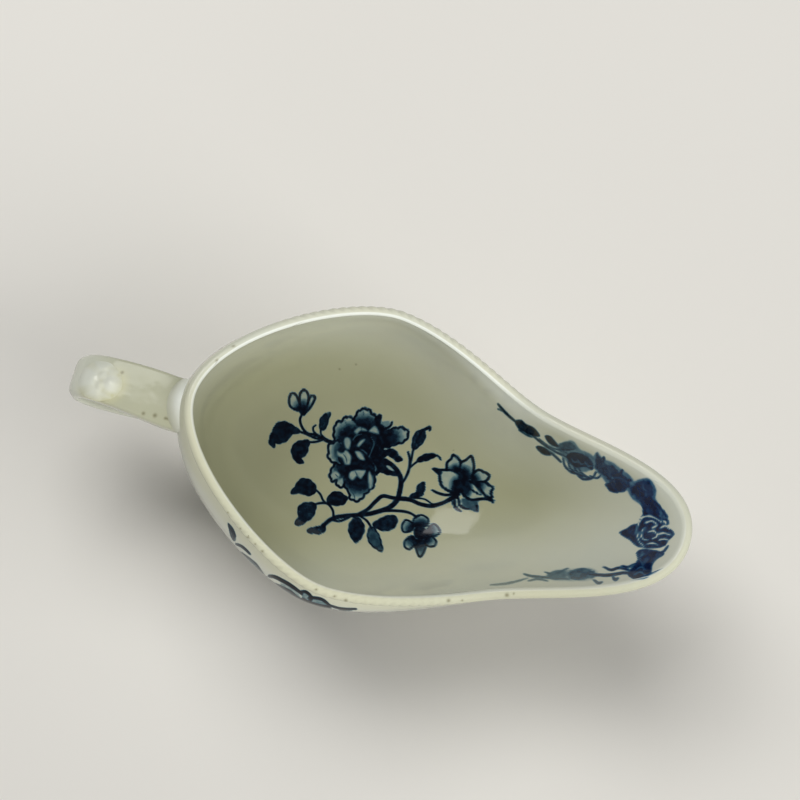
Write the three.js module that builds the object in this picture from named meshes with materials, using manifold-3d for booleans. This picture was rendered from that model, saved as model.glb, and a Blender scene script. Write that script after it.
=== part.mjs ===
// Porcelain sauceboat: gadroon rim, pouring lip, oval foot ring and strap handle with a shell thumb rest.
// Millimetres, +Z up. The lip points along +X and the handle along -X. The foot stands on z = 0.
import * as THREE from 'three';
import { mergeVertices } from 'three/addons/utils/BufferGeometryUtils.js';
import Module from 'manifold-3d';

const wasm = await Module();
wasm.setup();

// Plan of the rim's inner edge: half outline from the handle end to the lip, mirrored about the X axis.
const REAR_X = -59.6;           // inner edge at the handle end
const REAR_ROUND = 19.5;        // how far the rear runs square to the axis
const WIDE_X = -5.3;            // widest place
const RIM_HALF_WIDTH = 44.1;
const WIDE_RUN_BACK = 16.2;     // how far the widest place runs along the axis, towards the handle
const WIDE_RUN_FRONT = 19;      // and towards the lip
const WAIST_X = 47.7;           // where the outline turns from bulging to hollow
const WAIST_HALF_WIDTH = 28;
const WAIST_SLOPE = 0.32;
const WAIST_RUN_BACK = 11;
const WAIST_RUN_FRONT = 20.3;
const LIP_X = 97.1;             // inner edge at the lip
const LIP_ROUND = 19;

// Heights of the rim's crest above the table.
const REAR_HEIGHT = 72;
const LIP_HEIGHT = 71.5;
const LIP_SLOPE = 0.37;         // rise towards the lip
const DIP_X = 35;               // where the side's fall is counted to
const SIDE_FALL = 21.5;         // from the handle end to there
const SIDE_FALL_POWER = 1.5;
const DIP_ROUNDING = 3;         // how softly the fall turns into the rise

// Gadroon moulding: a half round outside the crest, with slanted reeds that fade at the handle and the lip.
const MOULDING_RADIUS = 1.95;
const MOULDING_SETBACK = 1.3;   // from the inner edge to the half round's centre
const MOULDING_LOW = 0.6;       // radians below level where the wall meets the half round
const MOULDING_HIGH = 1.9;      // radians above level where the half round meets the inner edge
const MOULDING_STEPS = 4;
const INNER_EDGE_DROP = 0.5;    // from the crest to the inner edge
const REED_PITCH = 3.0;
const REED_DEPTH = 0.26;
const REED_SLANT = 0.9;         // reeds that a reed passes from the crest to the foot of the moulding
const REED_STEPS = 3;           // columns for each reed
const REED_TURN = 4;            // how sharply the slant turns over at the handle and at the lip
const REED_FADE_LIP_FROM = 22;
const REED_FADE_LIP_TO = 48;
const REED_FADE_REAR_FROM = -56;
const REED_FADE_REAR_TO = -46;

// Walls.
const WALL = 3.0;               // thickness below the moulding
const FLOOR_THICKNESS = 4.0;
const BELLY_SWELL = 8.5;        // pull of the belly beyond the rim
const BELLY_DROP = 22;          // and below it
const SPOUT_FLARE = 20;         // pull of the spout's wall behind the lip
const SPOUT_DROP = 33;          // and below it
const SPOUT_SPREAD = 6;         // extra level run under the spout
const SPOUT_FROM = -20;         // the wall changes from belly to spout between these places
const SPOUT_TO = 84;
const BASE_SPREAD = 13;         // level run of the outside above the foot
const FLOOR_SPREAD = 24;        // level run of the inside round the floor
const FLOOR_HALF_LENGTH = 22;
const FLOOR_HALF_WIDTH = 9;

// Foot ring: an oval that spreads to the table.
const FOOT_X = -10.6;
const FOOT_HEIGHT = 8;
const FOOT_TOP_HALF_LENGTH = 30;
const FOOT_TOP_HALF_WIDTH = 20.5;
const FOOT_SPREAD = 4;          // how much wider the foot is at the table than at its top
const FOOT_RING_WIDTH = 4.2;
const FOOT_TREAD_HEIGHT = 1.6;  // upright edge at the table
const FOOT_FLARE_POWER = 1.8;
const FOOT_STEPS = 4;

// Handle: a strap along a loop behind the bowl.
const STRAP_WIDTH = 16;
const STRAP_TURN_WIDTH = 14;    // at the far turn
const STRAP_LOW_WIDTH = 8;      // where it comes back to the belly
const STRAP_THICKNESS = 4.6;
const STRAP_BEVEL = 1.5;        // along the outer edges
const STRAP_BACK_BEVEL = 0.8;   // along the edges towards the fingers
const STRAP_TOP_RUN = 0.5;      // share of the reach over which the strap leaves the rim
const STRAP_RETURN_RUN = 0.45;  // and over which it comes back
const STRAP_SAG = 2;            // how far the two runs of the loop lean in
const STRAP_SHOULDER = 9;       // upright run each side of the far turn
const STRAP_STEPS = 30;
const HANDLE_REACH = 40.75;     // from the rim's inner edge to the strap's far side
const HANDLE_TOP_DROP = 11;     // from the rear crest to the strap's middle line
const HANDLE_TURN_HEIGHT = 47;  // the far side's outermost place
const HANDLE_LOW_HEIGHT = 33;   // where the strap comes back to the belly
const KNUCKLE_RADIUS = 4.2;
const KNUCKLE_LENGTH = 17.5;
const KNUCKLE_SINK = 2.2;       // how far the knuckle would go into the wall
const KNUCKLE_SQUARENESS = 0.45;
const KNUCKLE_STEPS = 10;
const KNUCKLE_COLUMNS = 24;
const TERMINAL_LENGTH = 20;
const TERMINAL_WIDTH = 11;
const TERMINAL_THICKNESS = 5;
const TERMINAL_END_ANGLE = 0.16;  // how blunt its ends are, radians
const TERMINAL_STEPS = 12;
const TERMINAL_COLUMNS = 20;
const TAIL_LIFT = 7;            // how far the tail curls away from the belly
const TAIL_RISE = 2.5;          // and turns up again
const TAIL_START = 0.33;        // share of the lift where the tail leaves the belly
const SHELL_LENGTH = 14;
const SHELL_WIDTH = 11.5;
const SHELL_HEIGHT = 1.7;
const SHELL_EDGE = 0.4;
const SHELL_LOBES = 7;
const SHELL_ALONG = 23;         // from the strap's start at the knuckle to the shell's middle
const SHELL_SCALLOP = 0.06;     // relief of the flutes, as a share
const SHELL_LOBE_STEPS = 6;
const SHELL_REACHES = [0.15, 0.4, 0.7, 0.92];  // rings of the dome, as shares of its outline
const BEAD_RADIUS = 2.2;
const BEAD_COLUMNS = 14;

const CLEARANCE = 0.3;          // between pieces that touch
const CURVE_STEP = 1e-3;        // share of a curve over which its direction is taken
const HALVINGS = 30;            // steps of the search for a place on the wall
const MERGE_WITHIN = 1e-4;
const WALL_COLUMNS = 100;
const WALL_STEPS = 10;
const WALL_CROWDING = 0.45;     // how much the rings crowd at the wall's ends
const FOOT_COLUMNS = 72;

const GLAZE = new THREE.MeshStandardMaterial({ color: 0xdcdfd0, roughness: 0.18, metalness: 0 });
const BISCUIT = new THREE.MeshStandardMaterial({ color: 0xcfc6ae, roughness: 0.8, metalness: 0 });
const UP = new THREE.Vector3(0, 0, 1);
const AHEAD = new THREE.Vector3(1, 0, 0);

const smooth = THREE.MathUtils.smoothstep;
const mix = THREE.MathUtils.lerp;

// Half outline of the inner edge, as three cubic stretches.
function halfOutline() {
  const v = (x, y) => new THREE.Vector2(x, y);
  const along = v(1, -WAIST_SLOPE).normalize();
  const waist = v(WAIST_X, WAIST_HALF_WIDTH);
  const path = new THREE.CurvePath();
  path.add(new THREE.CubicBezierCurve(v(REAR_X, 0), v(REAR_X, REAR_ROUND),
    v(WIDE_X - WIDE_RUN_BACK, RIM_HALF_WIDTH), v(WIDE_X, RIM_HALF_WIDTH)));
  path.add(new THREE.CubicBezierCurve(v(WIDE_X, RIM_HALF_WIDTH), v(WIDE_X + WIDE_RUN_FRONT, RIM_HALF_WIDTH),
    waist.clone().addScaledVector(along, -WAIST_RUN_BACK), waist));
  path.add(new THREE.CubicBezierCurve(waist, waist.clone().addScaledVector(along, WAIST_RUN_FRONT),
    v(LIP_X, LIP_ROUND), v(LIP_X, 0)));
  return path;
}

const outline = halfOutline();
const HALF_LENGTH = outline.getLength();
const REEDS = Math.round(2 * HALF_LENGTH / REED_PITCH);

// Height of the crest at a place along the boat: a falling side and a rising lip, blended where they meet.
function crestHeight(x) {
  const reach = Math.max(0, x - REAR_X) / (DIP_X - REAR_X);
  const side = REAR_HEIGHT - SIDE_FALL * reach ** SIDE_FALL_POWER;
  const lip = LIP_HEIGHT - LIP_SLOPE * (LIP_X - x);
  return (side + lip) / 2 + Math.hypot((side - lip) / 2, DIP_ROUNDING);
}

// Rim frame at u, which runs from 0 at the handle round to 1: inner edge point and level outward normal.
function rimAt(u) {
  const side = u <= 0.5 ? 1 : -1;
  const s = u <= 0.5 ? 2 * u : 2 * (1 - u);
  const p = outline.getPointAt(s);
  const a = outline.getPointAt(Math.max(0, s - CURVE_STEP));
  const b = outline.getPointAt(Math.min(1, s + CURVE_STEP));
  const t = b.sub(a).normalize();
  if (s === 0 || s === 1) {
    t.set(0, s === 0 ? 1 : -1);
  }
  return {
    point: new THREE.Vector3(p.x, side * p.y, crestHeight(p.x)),
    out: new THREE.Vector3(-t.y, side * t.x, 0),
  };
}

// Point of an oval round the foot's centre, in step with the rim.
function ovalAt(u, halfLength, halfWidth, z) {
  const angle = Math.PI - 2 * Math.PI * u;
  return new THREE.Vector3(FOOT_X + halfLength * Math.cos(angle), halfWidth * Math.sin(angle), z);
}

// Wall from an oval up to a place outside the rim's inner edge, swelling at the belly and flaring at the lip.
function wallCurve(u, start, offset, drop, spread) {
  const rim = rimAt(u);
  const top = rim.point.clone().addScaledVector(rim.out, offset).addScaledVector(UP, -drop);
  const heading = top.clone().sub(start).setZ(0).normalize();
  const spout = smooth(rim.point.x, SPOUT_FROM, SPOUT_TO);
  const leave = start.clone().addScaledVector(heading, mix(spread, spread + SPOUT_SPREAD, spout));
  const arrive = top.clone()
    .addScaledVector(rim.out, BELLY_SWELL * (1 - spout))
    .addScaledVector(AHEAD, -SPOUT_FLARE * spout)
    .addScaledVector(UP, -mix(BELLY_DROP, SPOUT_DROP, spout));
  return new THREE.CubicBezierCurve3(start, leave, arrive, top);
}

const OUTSIDE_DROP = MOULDING_RADIUS * (1 + Math.sin(MOULDING_LOW));

function outsideCurve(u, grow = 0) {
  const start = ovalAt(u, FOOT_TOP_HALF_LENGTH + grow, FOOT_TOP_HALF_WIDTH + grow, FOOT_HEIGHT - grow);
  return wallCurve(u, start, WALL + grow, OUTSIDE_DROP, BASE_SPREAD);
}

function insideCurve(u) {
  const start = ovalAt(u, FLOOR_HALF_LENGTH, FLOOR_HALF_WIDTH, FOOT_HEIGHT + FLOOR_THICKNESS);
  return wallCurve(u, start, 0, INNER_EDGE_DROP, FLOOR_SPREAD);
}

// A ring of points; its first point stands at u = start.
function ring(count, pointAt, start = 0) {
  return { start, points: Array.from({ length: count }, (_, i) => pointAt(i / count)) };
}

// Skin over rings of any counts. The two ends are closed by fans, or the last ring is joined to the first.
function skin(rings, endless = false) {
  const at = [];
  const faces = [];
  const first = rings.map((r) => at.push(...r.points) - r.points.length);
  const bridge = (a, b) => {
    const [ra, rb] = [rings[a], rings[b]];
    const [n, m] = [ra.points.length, rb.points.length];
    for (let i = 0, j = 0; i < n || j < m;) {
      const pa = first[a] + (i % n);
      const pb = first[b] + (j % m);
      if (j >= m || (i < n && ra.start + (i + 1) / n <= rb.start + (j + 1) / m)) {
        faces.push(pa, pb, first[a] + ((i + 1) % n));
        i += 1;
      } else {
        faces.push(pa, pb, first[b] + ((j + 1) % m));
        j += 1;
      }
    }
  };
  const cap = (a, turned) => {
    const n = rings[a].points.length;
    const middle = rings[a].points.reduce((sum, p) => sum.add(p), new THREE.Vector3()).divideScalar(n);
    const m = at.push(middle) - 1;
    for (let i = 0; i < n; i += 1) {
      const [p, q] = [first[a] + i, first[a] + ((i + 1) % n)];
      faces.push(m, ...(turned ? [q, p] : [p, q]));
    }
  };
  for (let k = 0; k + 1 < rings.length; k += 1) {
    bridge(k, k + 1);
  }
  if (endless) {
    bridge(rings.length - 1, 0);
  } else {
    cap(0, false);
    cap(rings.length - 1, true);
  }
  const geometry = new THREE.BufferGeometry().setFromPoints(at);
  geometry.setIndex(faces);
  return geometry;
}

function toSolid(geometry) {
  const bare = geometry.clone();
  bare.deleteAttribute('normal');
  bare.deleteAttribute('uv');
  const merged = mergeVertices(bare, MERGE_WITHIN);
  return new wasm.Manifold(new wasm.Mesh({
    numProp: 3,
    vertProperties: new Float32Array(merged.attributes.position.array),
    triVerts: new Uint32Array(merged.index.array),
  }));
}

function toGeometry(solid) {
  const mesh = solid.getMesh();
  const geometry = new THREE.BufferGeometry();
  geometry.setAttribute('position', new THREE.BufferAttribute(new Float32Array(mesh.vertProperties), 3));
  geometry.setIndex(new THREE.BufferAttribute(new Uint32Array(mesh.triVerts), 1));
  return geometry;
}

// Reed depth at a place along the boat, and the moulding's section with its slanted reeds.
function reedDepth(x) {
  const lip = 1 - smooth(x, REED_FADE_LIP_FROM, REED_FADE_LIP_TO);
  const rear = smooth(x, REED_FADE_REAR_FROM, REED_FADE_REAR_TO);
  return REED_DEPTH * lip * rear;
}

function mouldingPoint(u, angle, swell) {
  const rim = rimAt(u);
  const radius = MOULDING_RADIUS + swell * reedDepth(rim.point.x);
  return rim.point
    .addScaledVector(rim.out, MOULDING_SETBACK + radius * Math.cos(angle))
    .addScaledVector(UP, radius * Math.sin(angle) - MOULDING_RADIUS);
}

function mouldingRings() {
  return Array.from({ length: MOULDING_STEPS + 1 }, (_, k) => {
    const part = k / MOULDING_STEPS;
    const angle = mix(-MOULDING_LOW, MOULDING_HIGH, part);
    const relief = Math.sin(Math.PI * part);
    const pointAt = (v) => {
      const side = THREE.MathUtils.clamp(REED_TURN * Math.sin(2 * Math.PI * v), -1, 1);
      const u = (v + side * REED_SLANT * part / REEDS + 1) % 1;
      const step = Math.round(v * REEDS * REED_STEPS);
      return mouldingPoint(u, angle, relief * Math.cos(2 * Math.PI * step / REED_STEPS));
    };
    return ring(REEDS * REED_STEPS, pointAt);
  });
}

function wallRings(curveAt, from, to) {
  const ease = (part) => mix(part, (1 - Math.cos(Math.PI * part)) / 2, WALL_CROWDING);
  const steps = Array.from({ length: WALL_STEPS + 1 }, (_, k) => mix(from, to, ease(k / WALL_STEPS)));
  const curves = Array.from({ length: WALL_COLUMNS }, (_, i) => curveAt(i / WALL_COLUMNS));
  return steps.map((t) => ({ start: 0, points: curves.map((curve) => curve.getPoint(t)) }));
}

function bowl() {
  return skin([
    ...wallRings(outsideCurve, 0, 1).slice(0, -1),
    ...mouldingRings(),
    ...wallRings(insideCurve, 1, 0),
  ]);
}

// The room that the bowl takes with a clearance round it, to cut what is stuck on its outside.
function bowlRoom() {
  const rings = wallRings((u) => outsideCurve(u, CLEARANCE), 0, 1);
  const moulding = [-MOULDING_LOW, 0, MOULDING_LOW, Math.PI / 2].map((angle) => ring(WALL_COLUMNS, (u) => {
    const rim = rimAt(u);
    const reach = MOULDING_RADIUS + CLEARANCE;
    return rim.point
      .addScaledVector(rim.out, MOULDING_SETBACK + reach * Math.cos(angle))
      .addScaledVector(UP, reach * Math.sin(angle) - MOULDING_RADIUS);
  }));
  return toSolid(skin([...rings, ...moulding]));
}

function footRing() {
  const flare = (part) => FOOT_SPREAD * part ** FOOT_FLARE_POWER;
  const outer = Array.from({ length: FOOT_STEPS + 1 }, (_, k) => {
    const part = k / FOOT_STEPS;
    return [flare(part), mix(FOOT_HEIGHT, FOOT_TREAD_HEIGHT, part)];
  });
  const inner = [...outer].reverse().map(([out, z]) => [out - FOOT_RING_WIDTH, z]);
  const section = [...outer, [FOOT_SPREAD, 0], [FOOT_SPREAD - FOOT_RING_WIDTH, 0], ...inner].reverse();
  const rings = section.map(([out, z]) => ring(FOOT_COLUMNS, (u) => (
    ovalAt(u, FOOT_TOP_HALF_LENGTH + out, FOOT_TOP_HALF_WIDTH + out, z))));
  return skin(rings, true);
}

// Place on the outside of the bowl, at the handle end, at a height: found by halving the wall's curve.
function rearWallAt(z) {
  const wall = outsideCurve(0);
  let [low, high] = [0, 1];
  for (let k = 0; k < HALVINGS; k += 1) {
    const middle = (low + high) / 2;
    if (wall.getPoint(middle).z < z) {
      low = middle;
    } else {
      high = middle;
    }
  }
  return wall.getPoint(low);
}

// Middle line of the strap, from the knuckle under the rim round to the belly.
const STRAP_START = rearWallAt(REAR_HEIGHT - HANDLE_TOP_DROP);
STRAP_START.x += KNUCKLE_SINK - KNUCKLE_RADIUS;
const FAR_X = REAR_X - HANDLE_REACH + STRAP_THICKNESS / 2;

function strapPath() {
  const v = (x, z) => new THREE.Vector3(x, 0, z);
  const far = v(FAR_X, HANDLE_TURN_HEIGHT);
  const end = rearWallAt(HANDLE_LOW_HEIGHT);
  const leave = v(mix(STRAP_START.x, FAR_X, STRAP_TOP_RUN), STRAP_START.z - STRAP_SAG);
  const arrive = v(mix(end.x, FAR_X, STRAP_RETURN_RUN), HANDLE_LOW_HEIGHT + STRAP_SAG);
  const above = v(FAR_X, HANDLE_TURN_HEIGHT + STRAP_SHOULDER);
  const below = v(FAR_X, HANDLE_TURN_HEIGHT - STRAP_SHOULDER);
  const path = new THREE.CurvePath();
  path.add(new THREE.CubicBezierCurve3(STRAP_START, leave, above, far));
  path.add(new THREE.CubicBezierCurve3(far, below, arrive, end));
  return path;
}

const strapLine = strapPath();
const STRAP_LENGTH = strapLine.getLength();
const TURN_ALONG = strapLine.curves[0].getLength();

// Where the strap is, a length along it, and the way its outer face looks.
function strapFrame(along) {
  const s = THREE.MathUtils.clamp(along / STRAP_LENGTH, 0, 1);
  const a = strapLine.getPointAt(Math.max(0, s - CURVE_STEP));
  const b = strapLine.getPointAt(Math.min(1, s + CURVE_STEP));
  const t = b.sub(a).normalize();
  return { point: strapLine.getPointAt(s), face: new THREE.Vector3(t.z, 0, -t.x) };
}

function onStrap(along, across, height) {
  const { point, face } = strapFrame(along);
  const at = point.clone().addScaledVector(face, height);
  at.y = across;
  return at;
}

// Width of the strap, which narrows slowly to the far turn and then faster to its lower end.
function strapWidth(along) {
  const before = mix(STRAP_WIDTH, STRAP_TURN_WIDTH, smooth(along, 0, TURN_ALONG));
  return mix(before, STRAP_LOW_WIDTH, smooth(along, TURN_ALONG, STRAP_LENGTH));
}

function strap() {
  const half = STRAP_THICKNESS / 2;
  return toSolid(skin(Array.from({ length: STRAP_STEPS + 1 }, (_, k) => {
    const along = STRAP_LENGTH * k / STRAP_STEPS;
    const width = strapWidth(along) / 2;
    const side = [[width - STRAP_BEVEL, half], [width, half - STRAP_BEVEL], [width, -half + STRAP_BACK_BEVEL],
      [width - STRAP_BACK_BEVEL, -half]];
    const section = [...side.map(([y, h]) => [-y, h]), ...[...side].reverse()];
    return { start: 0, points: section.map(([y, h]) => onStrap(along, y, h)) };
  })));
}

// Rolled knuckle between the strap and the wall: a barrel that lies across.
function knuckle(grow) {
  const radius = KNUCKLE_RADIUS + grow;
  const half = KNUCKLE_LENGTH / 2 + grow;
  const profile = Array.from({ length: KNUCKLE_STEPS + 1 }, (_, k) => {
    const angle = mix(-Math.PI / 2, Math.PI / 2, k / KNUCKLE_STEPS);
    return new THREE.Vector2(radius * Math.cos(angle) ** KNUCKLE_SQUARENESS, half * Math.sin(angle));
  });
  profile[0].x = 0;
  profile[KNUCKLE_STEPS].x = 0;
  const geometry = new THREE.LatheGeometry(profile, KNUCKLE_COLUMNS);
  return toSolid(geometry.translate(...STRAP_START));
}

// Tongue that lies on the belly, with a tail that curls away below.
function tongue(grow) {
  const top = HANDLE_LOW_HEIGHT + TERMINAL_LENGTH / 2;
  const bottom = HANDLE_LOW_HEIGHT - TERMINAL_LENGTH / 2;
  const tail = rearWallAt(bottom);
  const line = new THREE.CatmullRomCurve3([
    rearWallAt(top), rearWallAt(HANDLE_LOW_HEIGHT), tail.clone().setX(tail.x - TAIL_LIFT * TAIL_START),
    tail.clone().add(new THREE.Vector3(-TAIL_LIFT, 0, TAIL_RISE)),
  ]);
  return toSolid(skin(Array.from({ length: TERMINAL_STEPS + 1 }, (_, k) => {
    const s = k / TERMINAL_STEPS;
    const t = line.getTangentAt(s);
    const face = new THREE.Vector3(t.z, 0, -t.x);
    const fullness = Math.sqrt(Math.sin(mix(TERMINAL_END_ANGLE, Math.PI - TERMINAL_END_ANGLE, s)));
    const size = new THREE.Vector2(TERMINAL_WIDTH, TERMINAL_THICKNESS).multiplyScalar(fullness);
    const half = size.divideScalar(2).addScalar(grow);
    const at = line.getPointAt(s).addScaledVector(t, grow * (2 * s - 1));
    return ring(TERMINAL_COLUMNS, (v01) => {
      const angle = 2 * Math.PI * v01;
      const p = at.clone().addScaledVector(face, half.y * Math.cos(angle));
      p.y = -half.x * Math.sin(angle);
      return p;
    });
  })));
}

// Shell on the strap: a fluted dome with a scalloped edge, and a bead at the end towards the rim.
function shell() {
  const columns = SHELL_LOBES * SHELL_LOBE_STEPS;
  const base = STRAP_THICKNESS / 2 + CLEARANCE;
  const level = (reach, height) => ring(columns, (v) => {
    const angle = 2 * Math.PI * v;
    const flute = Math.cos(SHELL_LOBES * angle);
    const r = reach * (1 + SHELL_SCALLOP * flute * reach);
    const h = height + (height > 0 ? SHELL_SCALLOP * SHELL_HEIGHT * flute * reach : 0);
    const along = SHELL_ALONG - r * SHELL_LENGTH / 2 * Math.cos(angle);
    return onStrap(along, -r * SHELL_WIDTH / 2 * Math.sin(angle), base + h);
  });
  const seat = SHELL_REACHES.map((reach) => level(reach, 0));
  const dome = [...SHELL_REACHES].reverse().map((reach) => (
    level(reach, SHELL_EDGE + SHELL_HEIGHT * Math.sqrt(1 - reach ** 2))));
  const leaf = toSolid(skin([...seat, level(1, 0), level(1, SHELL_EDGE), ...dome]));
  const bead = new THREE.SphereGeometry(BEAD_RADIUS, BEAD_COLUMNS, BEAD_COLUMNS / 2);
  const place = onStrap(SHELL_ALONG - SHELL_LENGTH / 2, 0, base + BEAD_RADIUS);
  return leaf.add(toSolid(bead.translate(...place)));
}

function mesh(name, geometry, material) {
  const piece = new THREE.Mesh(geometry, material.clone());
  piece.name = name;
  return piece;
}

const room = bowlRoom();
const knuckleSolid = knuckle(0).subtract(room);
const tongueSolid = tongue(0).subtract(room);
const strapSolid = strap().subtract(knuckle(CLEARANCE)).subtract(tongue(CLEARANCE)).subtract(room);

const sauceboat = new THREE.Group();
sauceboat.add(
  mesh('bowl', bowl(), GLAZE),
  mesh('foot_ring', footRing(), BISCUIT),
  mesh('handle_strap', toGeometry(strapSolid), GLAZE),
  mesh('upper_terminal', toGeometry(knuckleSolid), GLAZE),
  mesh('lower_terminal', toGeometry(tongueSolid), GLAZE),
  mesh('thumb_rest', toGeometry(shell()), GLAZE),
);

export default sauceboat;
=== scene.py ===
"""Looks of the porcelain sauceboat: glazed surfaces, underglaze blue print, floor, light and camera."""

import math

import bpy
import numpy as np
from mathutils import Matrix, Vector


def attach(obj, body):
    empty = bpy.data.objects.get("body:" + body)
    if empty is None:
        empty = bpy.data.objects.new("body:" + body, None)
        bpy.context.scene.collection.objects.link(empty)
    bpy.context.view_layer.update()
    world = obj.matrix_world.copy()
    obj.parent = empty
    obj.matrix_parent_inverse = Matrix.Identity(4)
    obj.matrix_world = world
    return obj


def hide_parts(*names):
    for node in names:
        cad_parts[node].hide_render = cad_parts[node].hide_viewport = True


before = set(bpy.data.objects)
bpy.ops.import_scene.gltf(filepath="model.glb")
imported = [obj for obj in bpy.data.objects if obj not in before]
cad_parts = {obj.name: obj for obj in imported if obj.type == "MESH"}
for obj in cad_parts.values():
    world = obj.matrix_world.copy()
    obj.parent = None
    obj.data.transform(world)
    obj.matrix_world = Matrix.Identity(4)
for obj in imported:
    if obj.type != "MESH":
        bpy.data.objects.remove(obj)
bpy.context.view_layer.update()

MM = 0.001
TINY = 1e-9
UP = np.array([0.0, 0.0, 1.0])
AHEAD = np.array([1.0, 0.0, 0.0])
ASIDE = np.array([0.0, 1.0, 0.0])

# Lengths are in millimetres and angles in radians, up to the looks.

# Plan of the rim's inner edge, as in the solid model.
REAR_X = -59.6
REAR_ROUND = 19.5
WIDE_X = -5.3
RIM_HALF_WIDTH = 44.1
WIDE_RUN_BACK = 16.2
WIDE_RUN_FRONT = 19.0
WAIST_X = 47.7
WAIST_HALF_WIDTH = 28.0
WAIST_SLOPE = 0.32
WAIST_RUN_BACK = 11.0
WAIST_RUN_FRONT = 20.3
LIP_X = 97.1
LIP_ROUND = 19.0

# Heights of the rim's crest.
REAR_HEIGHT = 72.0
LIP_HEIGHT = 71.5
LIP_SLOPE = 0.37
DIP_X = 35.0
SIDE_FALL = 21.5
SIDE_FALL_POWER = 1.5
DIP_ROUNDING = 3.0

# Gadroon moulding. The reeds fade between two places along the boat.
MOULDING_RADIUS = 1.95
MOULDING_SETBACK = 1.3
MOULDING_LOW = 0.6
MOULDING_HIGH = 1.9
MOULDING_SETTLE = 0.1
MOULDING_REAR_LOW = -0.37
MOULDING_REAR = (-58.0, -44.0)
INNER_EDGE_DROP = 0.5
REED_PITCH = 3.0
REED_DEPTH = 0.15
REED_SLANT = 1.5
REED_TURN = 4.0
REED_FADE_LIP = (22.0, 48.0)
REED_FADE_REAR = (-50.0, -28.0)
REED_FADE_LEFT = (-46.0, -30.0)

# Walls.
FLOOR_THICKNESS = 4.0
BELLY_SWELL = 8.5
BELLY_DROP = 22.0
SPOUT_FLARE = 20.0
SPOUT_DROP = 33.0
SPOUT_SPREAD = 6.0
SPOUT = (-20.0, 84.0)
SPOUT_LEAN = 5.0
LEAN = (0.0, 50.0)
BASE_SPREAD = 13.0
FLOOR_SPREAD = 24.0
FLOOR_HALF_LENGTH = 22.0
FLOOR_HALF_WIDTH = 9.0
REAR_RADIUS = 25.0

# Foot.
FOOT_X = -10.6
FOOT_HEIGHT = 8.0
FOOT_TOP_HALF_LENGTH = 30.0
FOOT_TOP_HALF_WIDTH = 20.5
FOOT_SPREAD = 4.0
FOOT_RING_WIDTH = 4.2
FOOT_TREAD_HEIGHT = 1.6
FOOT_TREAD_ROUND = 0.5
FOOT_FLARE_POWER = 1.8

# Strap of the handle.
STRAP_WIDTH = 17.0
STRAP_TURN_WIDTH = 14.0
STRAP_LOW_WIDTH = 8.0
STRAP_THICKNESS = 4.6
STRAP_BEVEL = 0.8
STRAP_TURN_BEVEL = 2.2
STRAP_BACK_BEVEL = 0.8
STRAP_EDGE = 0.3
STRAP_TOP_RUN = 0.5
STRAP_RETURN_RUN = 0.45
STRAP_SAG = 2.0
STRAP_INTO_WALL = 3.5
STRAP_SHOULDER = 9.0
HANDLE_REACH = 40.75
HANDLE_TOP_DROP = 11.0
HANDLE_TURN_HEIGHT = 47.0
HANDLE_LOW_HEIGHT = 33.0
HANDLE_ASIDE = 2.5

# Knuckle at the strap's start. Its radius and sink place the strap, as in the solid model.
KNUCKLE_RADIUS = 4.2
KNUCKLE_LENGTH = 17.5
KNUCKLE_SINK = 2.2
KNUCKLE_SQUARENESS = 0.55
KNUCKLE_PRESS = 0.2
KNUCKLE_SPILL = 1.35
KNUCKLE_FOOT = 2.6
KNUCKLE_SHOWN = 4.2
KNUCKLE_SHIFT = 3.8
KNUCKLE_RAISE = 1.9

# Tongue and tail at the strap's end.
TERMINAL_LENGTH = 20.0
TERMINAL_WIDTH = 11.0
TERMINAL_THICKNESS = 5.0
TERMINAL_BACK = 0.5
TERMINAL_END_ANGLE = 0.16
TAIL_LIFT = 7.0
TAIL_RISE = 2.5
TAIL_START = 0.33

# Shell on top of the strap, with its knob.
SHELL_LENGTH = 15.0
SHELL_WIDTH = 13.0
SHELL_HEIGHT = 1.6
SHELL_LOBES = 9
SHELL_ALONG = 23.5
SHELL_SCALLOP = 0.012
SHELL_FLUTES = 7
SHELL_FLUTE = 0.1
SHELL_FULLNESS = 1.15
SHELL_ASIDE = 1.2
SHELL_SINK = 0.05
INNER_LOBES = 5.2
LOBE_STEP = 0.9
LOBE_DIP = 0.08
KNOB_INSET = 2.9
KNOB_REACH = 2.0
KNOB_HEIGHT = 1.5

# Painted light and shade in the glaze's colour, glaze pooled with painted shade, and where the glaze is
# dull: shares from 0 to 1, and the ranges they fade over.
OUTSIDE_PAINTED_LIGHT = 0.22
PAINTED_LIGHT_DEPTH = (3.0, 14.0)
PAINTED_LIGHT_TO_LIP = (25.0, 55.0)
KNUCKLE_HIGHLIGHT = (-0.8, 1.0)
KNUCKLE_HIGHLIGHT_SIZE = (3.4, 6.5)
SHELL_PAINTED_LIGHT = 0.3
SHELL_PAINTED_LIGHT_FROM = (0.05, 0.5)
RIM_POOL_AND_SHADE = (0.2, 0.58)
SHADED_SIDE_RANGE = (-25.0, 30.0)
POOL_AND_SHADE_UNDER_RIM = 0.7
POOL_AND_SHADE_DEPTH = (2.0, 12.0)
POOL_AND_SHADE_AT_SHELL = 0.75
POOL_AND_SHADE_SPREAD = 0.24
SHADED_SIDE_TOWARDS = (-0.4, 0.5)
FLUTE_POOL_AND_SHADE = 0.3
STRAP_PAINTED_SHADE = 0.72
SHADE_TO_TURN = (16.0, 34.0)
SHADE_FROM = (0.4, 5.0)
SHADE_FULL = (12.0, 45.0)
SHADE_WALL = 0.2
SPOUT_SHADE = 0.4
SPOUT_SHADE_FROM = (15.0, 55.0)
SPOUT_SHADE_SIDE = (-18.0, 2.0)
LIT_TO_LIP = 0.45
LIT_FROM = (10.0, 45.0)
LIT_SHARE = 0.75
OUTSIDE_DULL = 0.92
KNOB_POOL_AND_SHADE = (1.7, 0.5)
FLUTE_POOL_AND_SHADE_FROM = (0.2, 1.0)
EDGE_POOL_AND_SHADE_POWER = 6

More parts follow.
